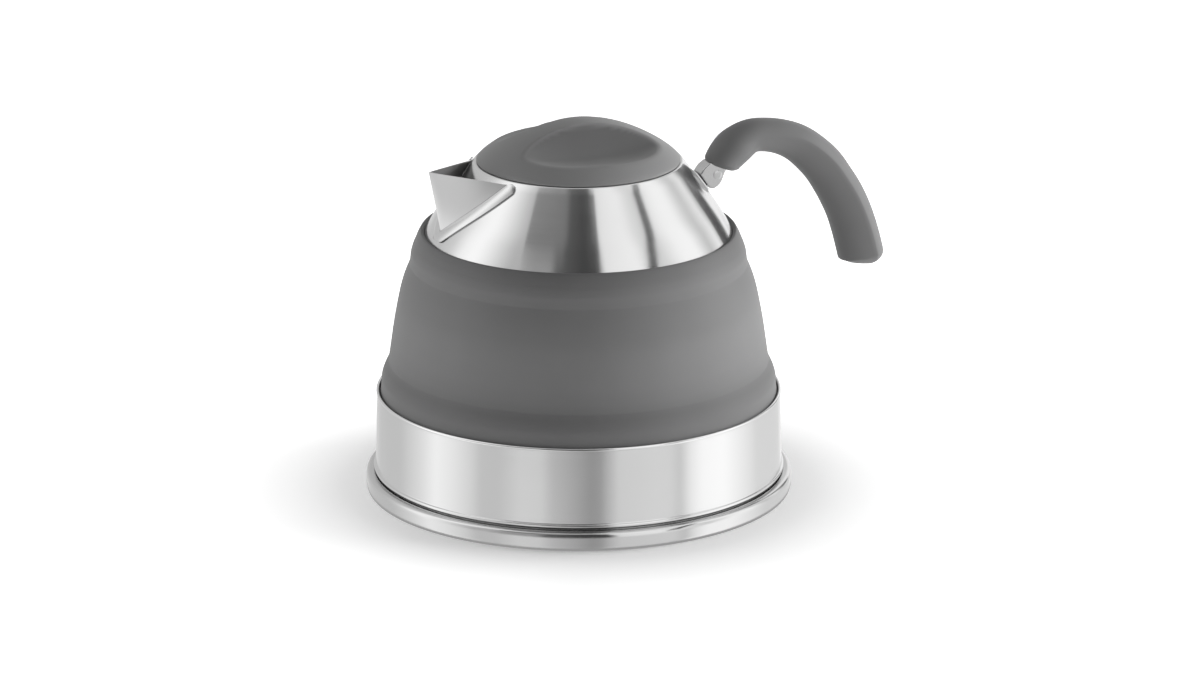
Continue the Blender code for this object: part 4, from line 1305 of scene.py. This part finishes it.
        # Painted light: the floor glows more towards the left.
        left = bench.add("VectorMath", {0: bench.place}, operation="DOT_PRODUCT")
        left.inputs[1].default_value = self._way(-90)
        lift = bench.mapped(left.outputs["Value"], From_Min=0.0, From_Max=0.1, To_Max=0.15)
        glow = bench.math("ADD", ramp.outputs["Color"], lift)
        level = bench.add("Mix", {"Factor": bench.seen(), "B": glow}, data_type="FLOAT", A=self.floor_glow)
        bench.feed("Emission Strength", level.outputs[0])
        floor = piece("white_floor", shape, bench.material)
        floor.visible_glossy = False

    def _cloth(self, name: str, level: float = 0.0) -> Bench:
        """Starts a glowing or dark cloth, which reflects nothing.

        Args:
            name: What it is for.
            level: Its brightness.

        Returns:
            Its node tree.
        """
        bench = Bench(f"{name}_cloth")
        bench.set(Base_Color=BLACK, Specular_IOR_Level=0.0, Emission_Color=WHITE, Emission_Strength=level)
        return bench

    def _reflected(self, card: Object) -> None:
        """Shows a card only to reflections.

        Args:
            card: The card.
        """
        card.visible_camera = False
        card.visible_diffuse = False
        card.visible_shadow = False
        card.visible_transmission = False

    def _tent(self, name: str, levels: Sequence[Point], side: int) -> None:
        """Half of the tent round the kettle, which changes with the direction and evens out overhead.

        Args:
            name: Its name.
            levels: Brightness by angle.
            side: 1 for the upper half, -1 for the lower, which the foot's bead reflects.
        """
        dome = bmesh.new()
        bmesh.ops.create_uvsphere(dome, u_segments=96, v_segments=48, radius=self.tent_radius)
        bmesh.ops.bisect_plane(dome, geom=[*dome.verts, *dome.edges, *dome.faces], dist=MERGE,
                               plane_co=(0, 0, 0), plane_no=(0, 0, side), clear_inner=True)
        bench = self._cloth(name)
        turn = bench.add("TexGradient", {"Vector": bench.place}, gradient_type="RADIAL").outputs["Fac"]
        ramp = bench.add("ValToRGB", {"Fac": turn})
        marks = sorted((((angle + self.azimuth + 90) / 360) % 1, level) for angle, level in levels)
        (first, first_level), (last, last_level) = marks[0], marks[-1]
        seam = last_level + (first_level - last_level) * (1 - last) / (1 - last + first)
        elements = ramp.color_ramp.elements
        for element in elements:
            element.color = (*grey(seam / self.tent_peak), 1)
        for mark, level in marks:
            elements.new(mark).color = (*grey(level / self.tent_peak), 1)
        glow = bench.math("MULTIPLY", ramp.outputs["Color"], self.tent_peak)
        if side > 0:
            height = bench.add("SeparateXYZ", {"Vector": bench.place}).outputs["Z"]
            overhead = bench.mapped(height, From_Min=self.tent_radius * self.top_start_share,
                                    From_Max=self.tent_radius * self.top_end_share,
                                    interpolation_type="SMOOTHSTEP")
            mixed = bench.add("Mix", {"Factor": overhead, "A": glow}, data_type="FLOAT", B=self.top_level)
            glow = mixed.outputs[0]
        bench.feed("Emission Strength", glow)
        self._reflected(piece(name, dome, bench.material))

    def _flag(self, name: str, level: float, corners: Sequence[Point]) -> None:
        """A dark card between the tent and the kettle.

        Args:
            name: Its name.
            level: Its brightness.
            corners: Angle and height of each corner.
        """
        shape = bmesh.new()
        reach = self.tent_radius * self.flag_share
        shape.faces.new([shape.verts.new(self._way(*corner) * reach) for corner in corners])
        self._reflected(piece(name, shape, self._cloth(name, level).material))

    def _softbox(self, name: str, angle: float, power: float) -> None:
        """A large soft lamp that looks at the kettle.

        Args:
            name: Its name.
            angle: Its direction.
            power: In watts.
        """
        data = bpy.data.lights.new(name, "AREA")
        data.size = self.lamp_size
        data.energy = power
        lamp = add_object(name, data)
        lamp.location = self._way(angle) * self.lamp_distance + Vector((0, 0, self.lamp_height))
        aim = Vector((0, 0, self.lamp_aim)) - lamp.location
        lamp.rotation_euler = aim.to_track_quat("-Z", "Y").to_euler()
        lamp.visible_camera = False
        lamp.visible_glossy = False


def dress_kept_nodes(finishes: Finishes) -> None:
    """Gives the CAD nodes, the hidden ones too, their materials by slot.

    Args:
        finishes: The kettle's materials.
    """
    by_slot = {
        Slot.CAP: finishes.cap, Slot.STEEL: finishes.body, Slot.SPOUT: finishes.plate,
        Slot.SPREADER: finishes.spreader, Slot.SLEEVE: finishes.collar, Slot.GRIP: finishes.grip,
        Slot.NYLON: finishes.nylon}
    slots = {row["node"]: row["material_slot"] for row in frame["record"]["subparts"]}
    for name, node in frame["nodes"].items():
        node.data.materials.clear()
        node.data.materials.append(by_slot[Slot(slots[name])])


def main() -> None:
    """Builds every sub-assembly and the studio in order."""
    logging.basicConfig(level=logging.INFO, format="%(message)s")
    finishes = Finishes()
    shoulder = Shoulder(finishes)
    for assembly in (Foundation(finishes), Sleeve(finishes), shoulder, Spout(finishes, shoulder),
                     Handle(finishes, shoulder), Lid(finishes)):
        assembly.build()
    dress_kept_nodes(finishes)
    Studio().build()
    bpy.context.scene.view_settings.view_transform = "Standard"


if __name__ == "__main__":
    main()
